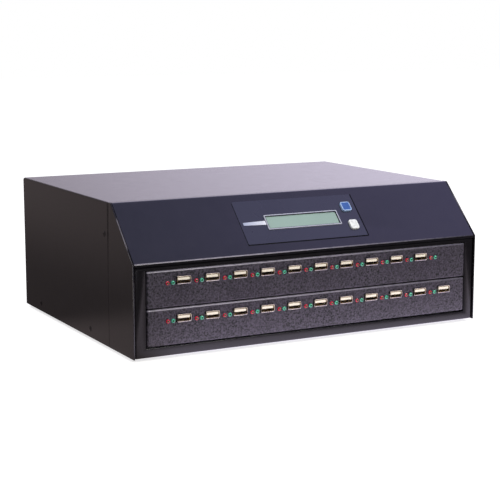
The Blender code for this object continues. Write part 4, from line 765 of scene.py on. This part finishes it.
        # Painted shade: the display darkens towards the right
        painted_falloff = add_node(tree, "ShaderNodeMapRange", {
            "Value": split.outputs["X"], "From Min": -0.036, "From Max": 0.040,
            "To Min": 0.35, "To Max": 0.65})
        both = add_node(tree, "ShaderNodeMath", {
            0: painted_falloff.outputs[0], 1: cloud.outputs["Fac"]}, operation="MULTIPLY")
        tinted = add_node(tree, "ShaderNodeMix", {
            0: both.outputs[0], 6: shaded(colours.display, 1.1), 7: shaded(colours.display, 0.8)},
            data_type="RGBA")
        rough = add_node(tree, "ShaderNodeMapRange", {
            "Value": cloud.outputs["Fac"], "To Min": 0.20, "To Max": 0.30})
        link_finish(tree, shader, tinted, rough)
        shader.inputs["Coat Weight"].default_value = 0.3
        shader.inputs["Coat Roughness"].default_value = 0.06
        return material

    def stripe_finish(self, right, sizes):
        """Silver foil ink, brushed across: brighter towards the display."""
        material, tree, shader, place = start_finish("silver_ink")
        split = add_node(tree, "ShaderNodeSeparateXYZ", {0: place})
        run = add_node(tree, "ShaderNodeMapRange", {
            "Value": split.outputs["X"], "From Min": right - sizes.stripe_width, "From Max": right})
        grain = add_node(tree, "ShaderNodeTexNoise", {"Vector": place, "Scale": 1 / 0.0012, "Detail": 2.0})
        tinted = add_node(tree, "ShaderNodeMix", {
            0: run.outputs[0], 6: linear("a9b2cc"), 7: linear("e6e8f4")}, data_type="RGBA")
        rough = add_node(tree, "ShaderNodeMapRange", {
            "Value": grain.outputs["Fac"], "To Min": 0.32, "To Max": 0.45})
        link_finish(tree, shader, tinted, rough)
        return material


class DUPLICATOR_OT_keys(bpy.types.Operator):
    """Make the two keys with their flanges and stems"""

    bl_idname = "duplicator.keys"
    bl_label = "Keys"

    def execute(self, context):
        sizes, colours = sizes_and_colours(context)
        # Polished moulded ABS: soft gloss, no grain that the eye can see
        blue = add_finish("blue_abs", colours.blue, 0.28, 0.0010, 0.000006, 0.006, tint_change=0.08,
                          Coat_Weight=0.3, Coat_Roughness=0.1)
        rim = add_finish("pale_blue_abs", colours.blue_rim, 0.30, 0.0010, 0.000006, 0.006, tint_change=0.06)
        white = add_finish("white_abs", colours.white, 0.32, 0.0010, 0.000006, 0.006, tint_change=0.04)
        self.add_key(sizes, "upper_key", [rim, blue], "blue_plastic", True)
        self.add_key(sizes, "lower_key", [white], "white_plastic", False)
        return {"FINISHED"}

    def add_key(self, sizes, node, materials, slot, rimmed):
        """A pillow-shaped cap over a flange and a stem, in the slope's own axes."""
        slope = slope_matrix(sizes)
        low, high = slope_box(node, slope)
        across, up = (low.x + high.x) / 2, (low.y + high.y) / 2
        width = high.x - low.x - 2 * sizes.key_flange
        height = high.y - low.y - 2 * sizes.key_flange
        shape = bmesh.new()
        seat = -0.0015
        cap = add_box(shape, (across - width / 2, up - height / 2, seat),
                      (across + width / 2, up + height / 2, sizes.key_crown))
        round_off(shape, edges_along(cap, 2), sizes.key_corner, 6)
        crown_round, groove = 0.0005, 0.00012
        round_off(shape, list(largest_face(shape, 2).edges), crown_round, 3)
        crown = largest_face(shape, 2)
        if rimmed:
            bmesh.ops.inset_region(shape, faces=[crown], thickness=sizes.key_rim - 0.0004, depth=0.0)
            bmesh.ops.inset_region(shape, faces=[crown], thickness=groove, depth=-groove * 1.25)
            crown.material_index = 1
        else:
            for inset, rise in ((0.0008, 0.00012), (0.0012, 0.00006)):
                bmesh.ops.inset_region(shape, faces=[crown], thickness=inset, depth=rise)
        flange = add_box(shape, (low.x, low.y, seat - 0.0010), (high.x, high.y, seat))
        round_off(shape, edges_along(flange, 2), 0.0025, 4)
        add_rod(shape, (across, up, seat - 0.0005), (across, up, low.z), 0.0019, 16)
        bmesh.ops.transform(shape, matrix=slope, verts=shape.verts)
        add_piece(node + "_finished", shape, materials, node, [node])


class DUPLICATOR_OT_screws(bpy.types.Operator):
    """Make the cover screws and the fan screws with crossed recesses"""

    bl_idname = "duplicator.screws"
    bl_label = "Screws"

    def execute(self, context):
        sizes, colours = sizes_and_colours(context)
        coat = coat_finish(colours, sizes)
        # Black oxide over zinc: dark, a little oily
        oxide = add_finish("black_oxide", linear("232326"), 0.36, 0.0008, 0.00001, 0.003,
                           metallic=0.7, tint_change=0.15)
        for side, sign in (("left", -1), ("right", 1)):
            for number in (1, 2, 3):
                node = "cover_screw_%s_%d" % (side, number)
                low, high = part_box(node)
                middle = (low + high) / 2
                place = (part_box("top_cover")[max(sign, 0)].x, middle.y, middle.z)
                turn = Matrix.Rotation(sign * math.pi / 2, 4, "Y")
                shape = self.screw_form(sizes.screw_radius, sizes.screw_height, reach=0.0060, shank=0.0015)
                bmesh.ops.transform(shape, matrix=Matrix.Translation(place) @ turn, verts=shape.verts)
                add_piece(node + "_finished", shape, [coat], "case", [node])
        low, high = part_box("fan_guard")
        middle = (low + high) / 2
        pitch = sizes.guard_pitch / 2
        turn = Matrix.Rotation(-math.pi / 2, 4, "X")
        for number, (right, up) in enumerate(((-1, -1), (-1, 1), (1, -1), (1, 1)), 1):
            shape = self.screw_form(0.0032, 0.0016, reach=0.0080, shank=0.0018)
            place = (middle.x + right * pitch, high.y - 0.0009, middle.z + up * pitch)
            bmesh.ops.transform(shape, matrix=Matrix.Translation(place) @ turn, verts=shape.verts)
            add_piece("fan_screw_%d" % number, shape, [oxide], "case")
        return {"FINISHED"}

    def screw_form(self, radius, height, reach, shank):
        """A pan head on the plane z = 0, looking up, with a crossed recess."""
        shape = bmesh.new()
        profile = [(0, height), (radius * 0.45, height * 0.96), (radius * 0.75, height * 0.80),
                   (radius * 0.93, height * 0.52), (radius, height * 0.2), (radius * 0.98, 0),
                   (shank, 0), (shank, -reach), (0, -reach - shank * 0.4)]
        add_turned(shape, profile, 24, Matrix.Identity(4))
        cutters = []
        for turn in (0, math.pi / 2):
            slot = bmesh.new()
            add_box(slot, (-radius * 0.52, -radius * 0.10, height * 0.35),
                    (radius * 0.52, radius * 0.10, height * 1.5))
            bmesh.ops.rotate(slot, matrix=Matrix.Rotation(turn, 3, "Z"), verts=slot.verts)
            cutters.append(slot)
        return carved(shape, cutters)


class DUPLICATOR_OT_fan(bpy.types.Operator):
    """Make the fan: frame, seven-bladed rotor and wire guard"""

    bl_idname = "duplicator.fan"
    bl_label = "Fan"

    def execute(self, context):
        sizes, colours = sizes_and_colours(context)
        # Glass-filled polyester, spark-eroded tool: dull black with a fine tooth
        plastic = add_finish("black_polyester", colours.plastic, 0.52, 0.0010, 0.00003, 0.012)
        add_smoothed("fan_frame", plastic, 35.0)
        self.add_rotor(sizes, plastic)
        # Bright nickel on drawn wire: crisp, slightly rippled reflections
        wire = add_finish("nickel_wire", linear("c9c9cb"), 0.20, 0.0012, 0.000008, 0.006,
                          metallic=1.0, tint_change=0.08)
        self.add_guard(sizes, wire)
        return {"FINISHED"}

    def add_rotor(self, sizes, plastic):
        """The hub, turned and hollow at the back, with seven blades."""
        low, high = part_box("fan_rotor")
        centre = (low + high) / 2
        depth = high.y - low.y
        place = Matrix.Translation(centre) @ Matrix.Rotation(math.pi / 2, 4, "X")
        radius = sizes.hub_radius
        shape = bmesh.new()
        profile = [(0, depth * 0.40), (radius * 0.80, depth * 0.40), (radius * 0.86, depth * 0.5),
                   (radius * 0.95, depth * 0.47), (radius, depth * 0.38), (radius, -depth * 0.5),
                   (radius * 0.93, -depth * 0.5), (radius * 0.93, -depth * 0.2), (0.0018, -depth * 0.2),
                   (0.0018, depth * 0.1), (0, depth * 0.1)]
        add_turned(shape, profile, 48, Matrix.Identity(4))
        for number in range(7):
            self.add_blade(shape, 2 * math.pi * number / 7, radius - 0.0008, sizes.blade_reach)
        bmesh.ops.transform(shape, matrix=place, verts=shape.verts)
        add_piece("fan_rotor_finished", shape, [plastic], "rotor", ["fan_rotor"], 50.0)

    def add_blade(self, shape, turn, root, tip):
        """A grid bent into one twisted, cambered blade about the height axis."""
        root_chord, chord_growth, arch, thickness = 0.0162, 0.0050, 0.0016, 0.0013
        root_pitch, pitch_loss = 46, 19
        others = set(shape.faces)
        grid = bmesh.ops.create_grid(shape, x_segments=8, y_segments=8, size=0.5)["verts"]
        for vert in grid:
            share = vert.co.y + 0.5
            across = vert.co.x
            radius = root + (tip - root) * share
            chord = root_chord + chord_growth * share
            pitch = math.radians(root_pitch - pitch_loss * share)
            camber = arch * (1 - 4 * across * across)
            along = across * chord
            lift = along * math.sin(pitch) + camber * math.cos(pitch)
            round_by = turn + (along * math.cos(pitch) - camber * math.sin(pitch)) / radius
            vert.co = (radius * math.cos(round_by), radius * math.sin(round_by), -lift)
        blade = [face for face in shape.faces if face not in others]
        bmesh.ops.recalc_face_normals(shape, faces=blade)
        bmesh.ops.solidify(shape, geom=blade, thickness=thickness)

    def add_guard(self, sizes, material):
        """Four rings on two crossed bars, with an eye for a screw at each end."""
        low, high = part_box("fan_guard")
        centre = (low + high) / 2
        wire = sizes.guard_wire
        upright = Matrix.Rotation(-math.pi / 2, 4, "X")
        bar_level = low.y + wire * 0.5
        ring_level = high.y - wire * 0.5
        pitch = sizes.guard_pitch / 2
        shape = bmesh.new()
        ring_radii = (0.0100, 0.0190, 0.0280, 0.0370)
        eye_radius = 0.0030
        for radius in ring_radii:
            add_hoop(shape, radius, wire, 64, 10,
                     Matrix.Translation((centre.x, ring_level, centre.z)) @ upright)
        bar_share = 0.92
        reach = pitch * bar_share
        for sign in (-1, 1):
            ends = [(centre.x + end * reach, bar_level, centre.z + sign * end * reach) for end in (-1, 1)]
            add_rod(shape, ends[0], ends[1], wire / 2, 12)
            for end in (-1, 1):
                add_hoop(shape, eye_radius, wire, 28, 10, Matrix.Translation(
                    (centre.x + end * pitch, bar_level, centre.z + sign * end * pitch)) @ upright)
        add_piece("fan_guard_finished", shape, [material], "case", ["fan_guard"], 60.0)


class DUPLICATOR_OT_power(bpy.types.Operator):
    """Make the mains inlet with its pins, and the switch with its rocker and marks"""

    bl_idname = "duplicator.power"
    bl_label = "Mains inlet and switch"

    def execute(self, context):
        colours = context.scene.duplicator_colours
        # Flame-proof nylon, moulded: satin black
        nylon = add_finish("black_nylon", colours.plastic, 0.38, 0.0010, 0.00001, 0.010)
        pins = add_finish("nickel_pins", linear("cfcabf"), 0.24, 0.0008, 0.000005, 0.004,
                          metallic=1.0, tint_change=0.1)
        self.add_inlet(nylon, pins)
        self.add_switch(nylon)
        return {"FINISHED"}

    def rear_plate(self, node, corner, segments, edge):
        """A plate on the rear panel, rounded at its corners and along its outer edge."""
        low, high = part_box(node)
        shape = bmesh.new()
        plate = add_box(shape, (low.x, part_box("rear_panel")[1].y + 0.0003, low.z), high)
        round_off(shape, edges_along(plate, 1), corner, segments)
        round_off(shape, list(largest_face(shape, 1).edges), edge, 3)
        return shape

    def add_inlet(self, nylon, pins):
        """A plate with a chamfered mouth, the hull behind the panel, and three pins with their tabs."""
        low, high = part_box("power_inlet")
        centre = (low + high) / 2
        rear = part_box("rear_panel")[1].y
        mouth_half, mouth_rise, mouth_depth, chamfer = 0.0123, 0.0084, 0.0134, 0.0040
        hull_half, hull_rise, hull_depth = 0.0136, 0.0099, 0.0200
        mouth = bmesh.new()
        verts = add_box(mouth, (centre.x - mouth_half, rear - mouth_depth, centre.z - mouth_rise),
                        (centre.x + mouth_half, high.y + 0.004, centre.z + mouth_rise))
        upper = [edge for edge in edges_along(verts, 1) if edge.verts[0].co.z > centre.z]
        round_off(mouth, upper, chamfer, 1)
        round_off(mouth, edges_along(mouth.verts, 1), 0.0006, 2)
        hull = bmesh.new()
        add_box(hull, (centre.x - hull_half, rear - hull_depth, centre.z - hull_rise),
                (centre.x + hull_half, rear + 0.0010, centre.z + hull_rise))
        shape = carved(self.rear_plate("power_inlet", 0.0028, 5, 0.0006), [mouth.copy()])
        absorb(shape, carved(hull, [mouth]))
        add_piece("power_inlet_finished", shape, [nylon], "case", ["power_inlet"])
        pin_half, pin_rise, pin_back, pin_tip = 0.0010, 0.0020, 0.0132, 0.0006
        tab_half, tab_rise, tab_back, tab_front = 0.0004, 0.00315, 0.0278, 0.0198
        blades = bmesh.new()
        for right, up in ((-0.0070, -0.0010), (0.0070, -0.0010), (0.0, 0.0040)):
            x, z = centre.x + right, centre.z + up
            blade = add_box(blades, (x - pin_half, rear - pin_back, z - pin_rise),
                            (x + pin_half, rear - pin_tip, z + pin_rise))
            tip = [edge for edge in edges_of(blade)
                   if all(vert.co.y > rear - 0.001 for vert in edge.verts)]
            round_off(blades, tip, 0.0007, 3)
            add_block(blades, (x - tab_half, rear - tab_back, z - tab_rise),
                      (x + tab_half, rear - tab_front, z + tab_rise), 0.00015, 1)
        add_piece("power_inlet_pins", blades, [pins], "case")

    def add_switch(self, nylon):
        """A plate and hull with a plain mouth, the rocker in it, and the marks on the rocker."""
        low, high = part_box("power_switch")
        centre = (low + high) / 2
        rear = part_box("rear_panel")[1].y
        mouth_half, mouth_rise, mouth_depth = 0.0052, 0.0078, 0.0085
        hull_half, hull_rise = 0.0065, 0.0095
        mouth = bmesh.new()
        add_box(mouth, (centre.x - mouth_half, high.y - mouth_depth, centre.z - mouth_rise),
                (centre.x + mouth_half, high.y + 0.004, centre.z + mouth_rise))
        hull = bmesh.new()
        add_box(hull, (centre.x - hull_half, low.y, centre.z - hull_rise),
                (centre.x + hull_half, rear + 0.0009, centre.z + hull_rise))
        shape = carved(self.rear_plate("power_switch", 0.0012, 4, 0.0005), [mouth.copy()])
        absorb(shape, carved(hull, [mouth]))
        add_piece("power_switch_finished", shape, [nylon], "case", ["power_switch"])
        add_smoothed("power_rocker", nylon, 35.0)
        # White pad-printed marks: a bar for on and a ring for off
        print_ink = add_finish("white_print", linear("e8e8e6"), 0.45, 0.0010, 0.000005, 0.006,
                               tint_change=0.04)
        # At rest the rocker leans 9 degrees about its pivot; its two faces dip 1.6 mm to the middle
        pivot = mouth_depth / 3
        rest = Matrix.Translation((centre.x, high.y - pivot, centre.z)) @ Matrix.Rotation(
            math.radians(9), 4, "X")
        lean = math.atan2(0.0016, 0.005926)
        marks = bmesh.new()
        for sign in (1, -1):
            face = rest @ Matrix.Translation((0, pivot, 0)) @ Matrix.Rotation(-sign * lean, 4, "X")
            shift = sign * 0.0032
            if sign > 0:
                made = add_box(marks, (-0.0003, 0.00001, shift - 0.0011), (0.0003, 0.00009, shift + 0.0011))
            else:
                ring = [(0.0008, -0.00004), (0.0008, 0.00004), (0.0012, 0.00004), (0.0012, -0.00004),
                        (0.0008, -0.00004)]
                flat = Matrix.Translation((0, 0.00005, shift)) @ Matrix.Rotation(-math.pi / 2, 4, "X")
                made = add_turned(marks, ring, 24, flat)
            bmesh.ops.transform(marks, matrix=face, verts=made)
        add_piece("power_rocker_marks", marks, [print_ink], "rocker")


class DUPLICATOR_OT_feet(bpy.types.Operator):
    """Make the four rubber feet"""

    bl_idname = "duplicator.feet"
    bl_label = "Feet"

    def execute(self, context):
        # Moulded nitrile rubber: dull, with a little dust in its grain
        rubber = add_finish("nitrile_rubber", linear("1c1c1d"), 0.82, 0.0012, 0.00004, 0.008)
        for node in sorted(frame["nodes"]):
            if node.startswith("foot_"):
                low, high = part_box(node)
                radius, height = (high.x - low.x) / 2, high.z - low.z
                shape = bmesh.new()
                profile = [(0, height), (radius * 0.96, height), (radius, height * 0.93),
                           (radius * 0.95, height * 0.30), (radius * 0.91, height * 0.08),
                           (radius * 0.85, 0), (radius * 0.45, 0), (radius * 0.40, height * 0.10),
                           (0, height * 0.12)]
                add_turned(shape, profile, 48, Matrix.Translation(
                    ((low.x + high.x) / 2, (low.y + high.y) / 2, low.z)))
                add_piece(node + "_finished", shape, [rubber], "case", [node])
        return {"FINISHED"}


class DUPLICATOR_OT_inside(bpy.types.Operator):
    """Finish the boards, the supply and the cables inside the case"""

    bl_idname = "duplicator.inside"
    bl_label = "Inside"

    def execute(self, context):
        # Green solder mask over copper: glossy, with darker lanes between the traces
        mask = add_finish("solder_mask", linear("1f5a33"), 0.30, 0.0012, 0.00002, 0.006, tint_change=0.35)
        dress(mask, "main_board", "panel_board", "upper_port_board", "lower_port_board")
        # Mill-finish aluminium: grey, faintly streaked
        mill = add_finish("mill_aluminium", linear("a4a6a8"), 0.38, 0.0010, 0.00001, 0.012, metallic=1.0)
        dress(mill, "power_supply")
        # Ribbon insulation: dull grey vinyl
        ribbon = add_finish("grey_vinyl", linear("8b8b8d"), 0.55, 0.00127, 0.00004, 0.010)
        dress(ribbon, "port_ribbon", "display_ribbon")
        # Wire insulation: satin black vinyl
        vinyl = add_finish("black_vinyl", linear("19191a"), 0.45, 0.0012, 0.00002, 0.010)
        dress(vinyl, "supply_harness", "mains_harness")
        return {"FINISHED"}


class DUPLICATOR_OT_stage(bpy.types.Operator):
    """Set up the pale floor, the soft studio light and the camera"""

    bl_idname = "duplicator.stage"
    bl_label = "Stage"

    def execute(self, context):
        self.add_floor(context.scene.duplicator_colours)
        self.add_world(context.scene)
        # Its reflection draws the bright lines along the folds of the sheet
        self.add_lamp("front_softbox", place=(0.47, -1.28, 0.86), aim=(-0.08, -0.14, 0.08),
                      width=0.40, depth=1.05, power=13.0, code="fffaf4")
        self.add_lamp("top_softbox", place=(-0.73, 0.08, 1.49), aim=(-0.10, -0.10, 0.10),
                      width=0.5, depth=0.5, power=5.0, code="ffffff")
        self.add_camera(context.scene)
        return {"FINISHED"}

    def add_floor(self, colours):
        """A floor that reads white to the camera and keeps the object's shadow."""
        shape = bmesh.new()
        bmesh.ops.create_grid(shape, x_segments=1, y_segments=1, size=6.0)
        mesh = bpy.data.meshes.new("floor")
        shape.to_mesh(mesh)
        shape.free()
        floor = bpy.data.objects.new("floor", mesh)
        bpy.context.scene.collection.objects.link(floor)
        material, tree, shader, place = start_finish("floor_paper")
        tree.nodes.remove(shader)
        rays = add_node(tree, "ShaderNodeLightPath")
        paper = add_node(tree, "ShaderNodeBsdfDiffuse", {"Color": tuple(colours.floor)})
        glow = add_node(tree, "ShaderNodeEmission", {"Color": (1, 1, 1, 1), "Strength": 0.68})
        bright = add_node(tree, "ShaderNodeAddShader", {0: paper.outputs[0], 1: glow.outputs[0]})
        # What the case mirrors: paper in full light just before it, and dimmer paper elsewhere.
        # Each band runs along an axis from start to end, and goes from one level to the other.
        split = add_node(tree, "ShaderNodeSeparateXYZ", {0: place})
        bands = {}
        for name, axis, start, end, low, high in (
                ("near", "Y", -0.27, -0.17, 0.0, 1.0), ("front", "Y", -0.12, -0.02, 1.0, 0.0),
                ("right", "X", -0.19, -0.12, 0.0, 1.0), ("far", "X", 0.28, 0.40, 1.0, 0.25),
                ("left", "X", -0.50, -0.24, 1.0, 0.38), ("corner", "Y", -0.02, 0.14, 1.0, 0.0),
                ("side", "Y", -0.20, -0.10, 0.05, 0.28)):
            bands[name] = add_node(tree, "ShaderNodeMapRange", {
                "Value": split.outputs[axis], "From Min": start, "From Max": end,
                "To Min": low, "To Max": high}, interpolation_type="SMOOTHSTEP").outputs[0]
        lit = bands["near"]
        for name in ("front", "right", "far"):
            lit = add_node(tree, "ShaderNodeMath", {0: lit, 1: bands[name]}, operation="MULTIPLY").outputs[0]
        open_floor = add_node(tree, "ShaderNodeMath", {
            0: bands["left"], 1: bands["corner"]}, operation="MAXIMUM")
        away = add_node(tree, "ShaderNodeMath", {
            0: open_floor.outputs[0], 1: bands["side"]}, operation="MULTIPLY")
        level = add_node(tree, "ShaderNodeMath", {
            0: lit, 1: 1.6, 2: away.outputs[0]}, operation="MULTIPLY_ADD")
        cast = add_node(tree, "ShaderNodeMix", {
            0: lit, 6: (1.0, 0.82, 0.82, 1), 7: (1.0, 0.90, 1.12, 1)}, data_type="RGBA")
        mirrored = add_node(tree, "ShaderNodeEmission", {
            "Color": cast.outputs[2], "Strength": level.outputs[0]})
        seen = add_node(tree, "ShaderNodeMixShader", {
            0: rays.outputs["Is Camera Ray"], 1: mirrored.outputs[0], 2: bright.outputs[0]})
        tree.links.new(seen.outputs[0], tree.nodes["Material Output"].inputs["Surface"])
        mesh.materials.append(material)

    def add_world(self, scene):
        """White to the camera; to reflections a cool ceiling and a bright wall behind, dim in front."""
        world = bpy.data.worlds.new("studio")
        scene.world = world
        world.use_nodes = True
        tree = world.node_tree
        back = tree.nodes["Background"]
        rays = add_node(tree, "ShaderNodeLightPath")
        mirrored = add_node(tree, "ShaderNodeMath", {
            0: rays.outputs["Is Glossy Ray"], 1: rays.outputs["Is Transmission Ray"]}, operation="MAXIMUM")
        ahead = add_node(tree, "ShaderNodeTexCoord").outputs["Generated"]
        split = add_node(tree, "ShaderNodeSeparateXYZ", {0: ahead})
        turn = add_node(tree, "ShaderNodeMath", {
            0: split.outputs["X"], 1: split.outputs["Y"]}, operation="ARCTAN2")
        bands = {}
        for name, value, start, end, low, high in (
                ("rise", split.outputs["Z"], 0.35, 0.75, 0.0, 1.0),
                ("gain", turn.outputs[0], 0.05, 0.75, 0.0, 1.0),
                ("fade", turn.outputs[0], 0.72, 0.92, 1.0, 0.0),
                ("behind", split.outputs["Y"], -0.3, 0.6, 0.0, 1.0),
                ("sweep", split.outputs["X"], 0.30, 0.58, 0.0, 1.0),
                ("beyond", split.outputs["X"], 0.68, 0.86, 1.0, 0.05)):
            bands[name] = add_node(tree, "ShaderNodeMapRange", {
                "Value": value, "From Min": start, "From Max": end,
                "To Min": low, "To Max": high}, interpolation_type="SMOOTHSTEP").outputs[0]
        both = add_node(tree, "ShaderNodeMath", {0: bands["gain"], 1: bands["fade"]}, operation="MULTIPLY")
        # A dim room, a little warmer behind, with a bright lilac wall behind it to the right
        room = add_node(tree, "ShaderNodeMix", {
            0: bands["behind"], 6: (0.05, 0.05, 0.10, 1), 7: (0.24, 0.20, 0.20, 1)}, data_type="RGBA")
        wall = add_node(tree, "ShaderNodeMix", {
            0: both.outputs[0], 6: room.outputs[2], 7: (1.55, 1.44, 1.76, 1)}, data_type="RGBA")
        # A bluish ceiling, brighter to the right, that ends beyond
        glow = add_node(tree, "ShaderNodeMix", {
            0: bands["sweep"], 6: (0.50, 0.52, 0.84, 1), 7: (0.92, 0.86, 1.6, 1)}, data_type="RGBA")
        panel = add_node(tree, "ShaderNodeVectorMath", {
            0: glow.outputs[2], "Scale": bands["beyond"]}, operation="SCALE")
        ceiling = add_node(tree, "ShaderNodeMix", {
            0: bands["rise"], 6: wall.outputs[2], 7: panel.outputs[0]}, data_type="RGBA")
        soft = add_node(tree, "ShaderNodeMix", {
            0: mirrored.outputs[0], 6: (0.47, 0.47, 0.49, 1), 7: ceiling.outputs[2]}, data_type="RGBA")
        seen = add_node(tree, "ShaderNodeMix", {
            0: rays.outputs["Is Camera Ray"], 6: soft.outputs[2], 7: (1, 1, 1, 1)}, data_type="RGBA")
        tree.links.new(seen.outputs[2], back.inputs["Color"])
        back.inputs["Strength"].default_value = 1.0

    def add_lamp(self, name, place, aim, width, depth, power, code):
        """A soft rectangular lamp."""
        light = bpy.data.lights.new(name, "AREA")
        light.shape = "RECTANGLE"
        light.size = width
        light.size_y = depth
        light.energy = power
        light.color = linear(code)[:3]
        lamp = bpy.data.objects.new(name, light)
        bpy.context.scene.collection.objects.link(lamp)
        lamp.location = place
        lamp.rotation_euler = (Vector(aim) - Vector(place)).to_track_quat("-Z", "Y").to_euler()

    def add_camera(self, scene):
        """The photograph's viewing angle, through a lens of about 98 mm."""
        camera = bpy.data.objects.new("camera", bpy.data.cameras.new("camera"))
        scene.collection.objects.link(camera)
        turn, tilt, reach = math.radians(-28.207), math.radians(9.339), 1.3428
        back = Vector((math.sin(turn) * math.cos(tilt), -math.cos(turn) * math.cos(tilt), math.sin(tilt)))
        camera.data.lens = 97.69
        camera.data.sensor_width = 36.0
        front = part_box("lower_port_panel")[0].y
        aim = Vector((0.00725, front + 0.137936, 0.06331))
        camera.location = aim + back * reach
        camera.rotation_euler = (-back).to_track_quat("-Z", "Y").to_euler()
        scene.camera = camera
        scene.view_settings.view_transform = "Standard"


class DUPLICATOR_PT_pieces(bpy.types.Panel):
    """Lists the operators, the sizes and the colours"""

    bl_label = "USB Stick Duplicator"
    bl_idname = "DUPLICATOR_PT_pieces"
    bl_space_type = "VIEW_3D"
    bl_region_type = "UI"
    bl_category = "Duplicator"

    def draw(self, context):
        for operator in operators:
            self.layout.operator(operator.bl_idname)
        for group in sizes_and_colours(context):
            box = self.layout.box()
            for name in type(group).__annotations__:
                box.prop(group, name)


operators = (
    DUPLICATOR_OT_case,
    DUPLICATOR_OT_port_panels,
    DUPLICATOR_OT_sockets,
    DUPLICATOR_OT_lamps,
    DUPLICATOR_OT_display,
    DUPLICATOR_OT_keys,
    DUPLICATOR_OT_screws,
    DUPLICATOR_OT_fan,
    DUPLICATOR_OT_power,
    DUPLICATOR_OT_feet,
    DUPLICATOR_OT_inside,
    DUPLICATOR_OT_stage,
)
classes = (DuplicatorSizes, DuplicatorColours, *operators, DUPLICATOR_PT_pieces)


def register():
    for item in classes:
        bpy.utils.register_class(item)
    bpy.types.Scene.duplicator_sizes = PointerProperty(type=DuplicatorSizes)
    bpy.types.Scene.duplicator_colours = PointerProperty(type=DuplicatorColours)


def unregister():
    del bpy.types.Scene.duplicator_colours
    del bpy.types.Scene.duplicator_sizes
    for item in reversed(classes):
        bpy.utils.unregister_class(item)


def main():
    register()
    bpy.ops.duplicator.case()
    bpy.ops.duplicator.port_panels()
    bpy.ops.duplicator.sockets()
    bpy.ops.duplicator.lamps()
    bpy.ops.duplicator.display()
    bpy.ops.duplicator.keys()
    bpy.ops.duplicator.screws()
    bpy.ops.duplicator.fan()
    bpy.ops.duplicator.power()
    bpy.ops.duplicator.feet()
    bpy.ops.duplicator.inside()
    bpy.ops.duplicator.stage()
    bpy.context.view_layer.update()


if __name__ == "__main__":
    main()
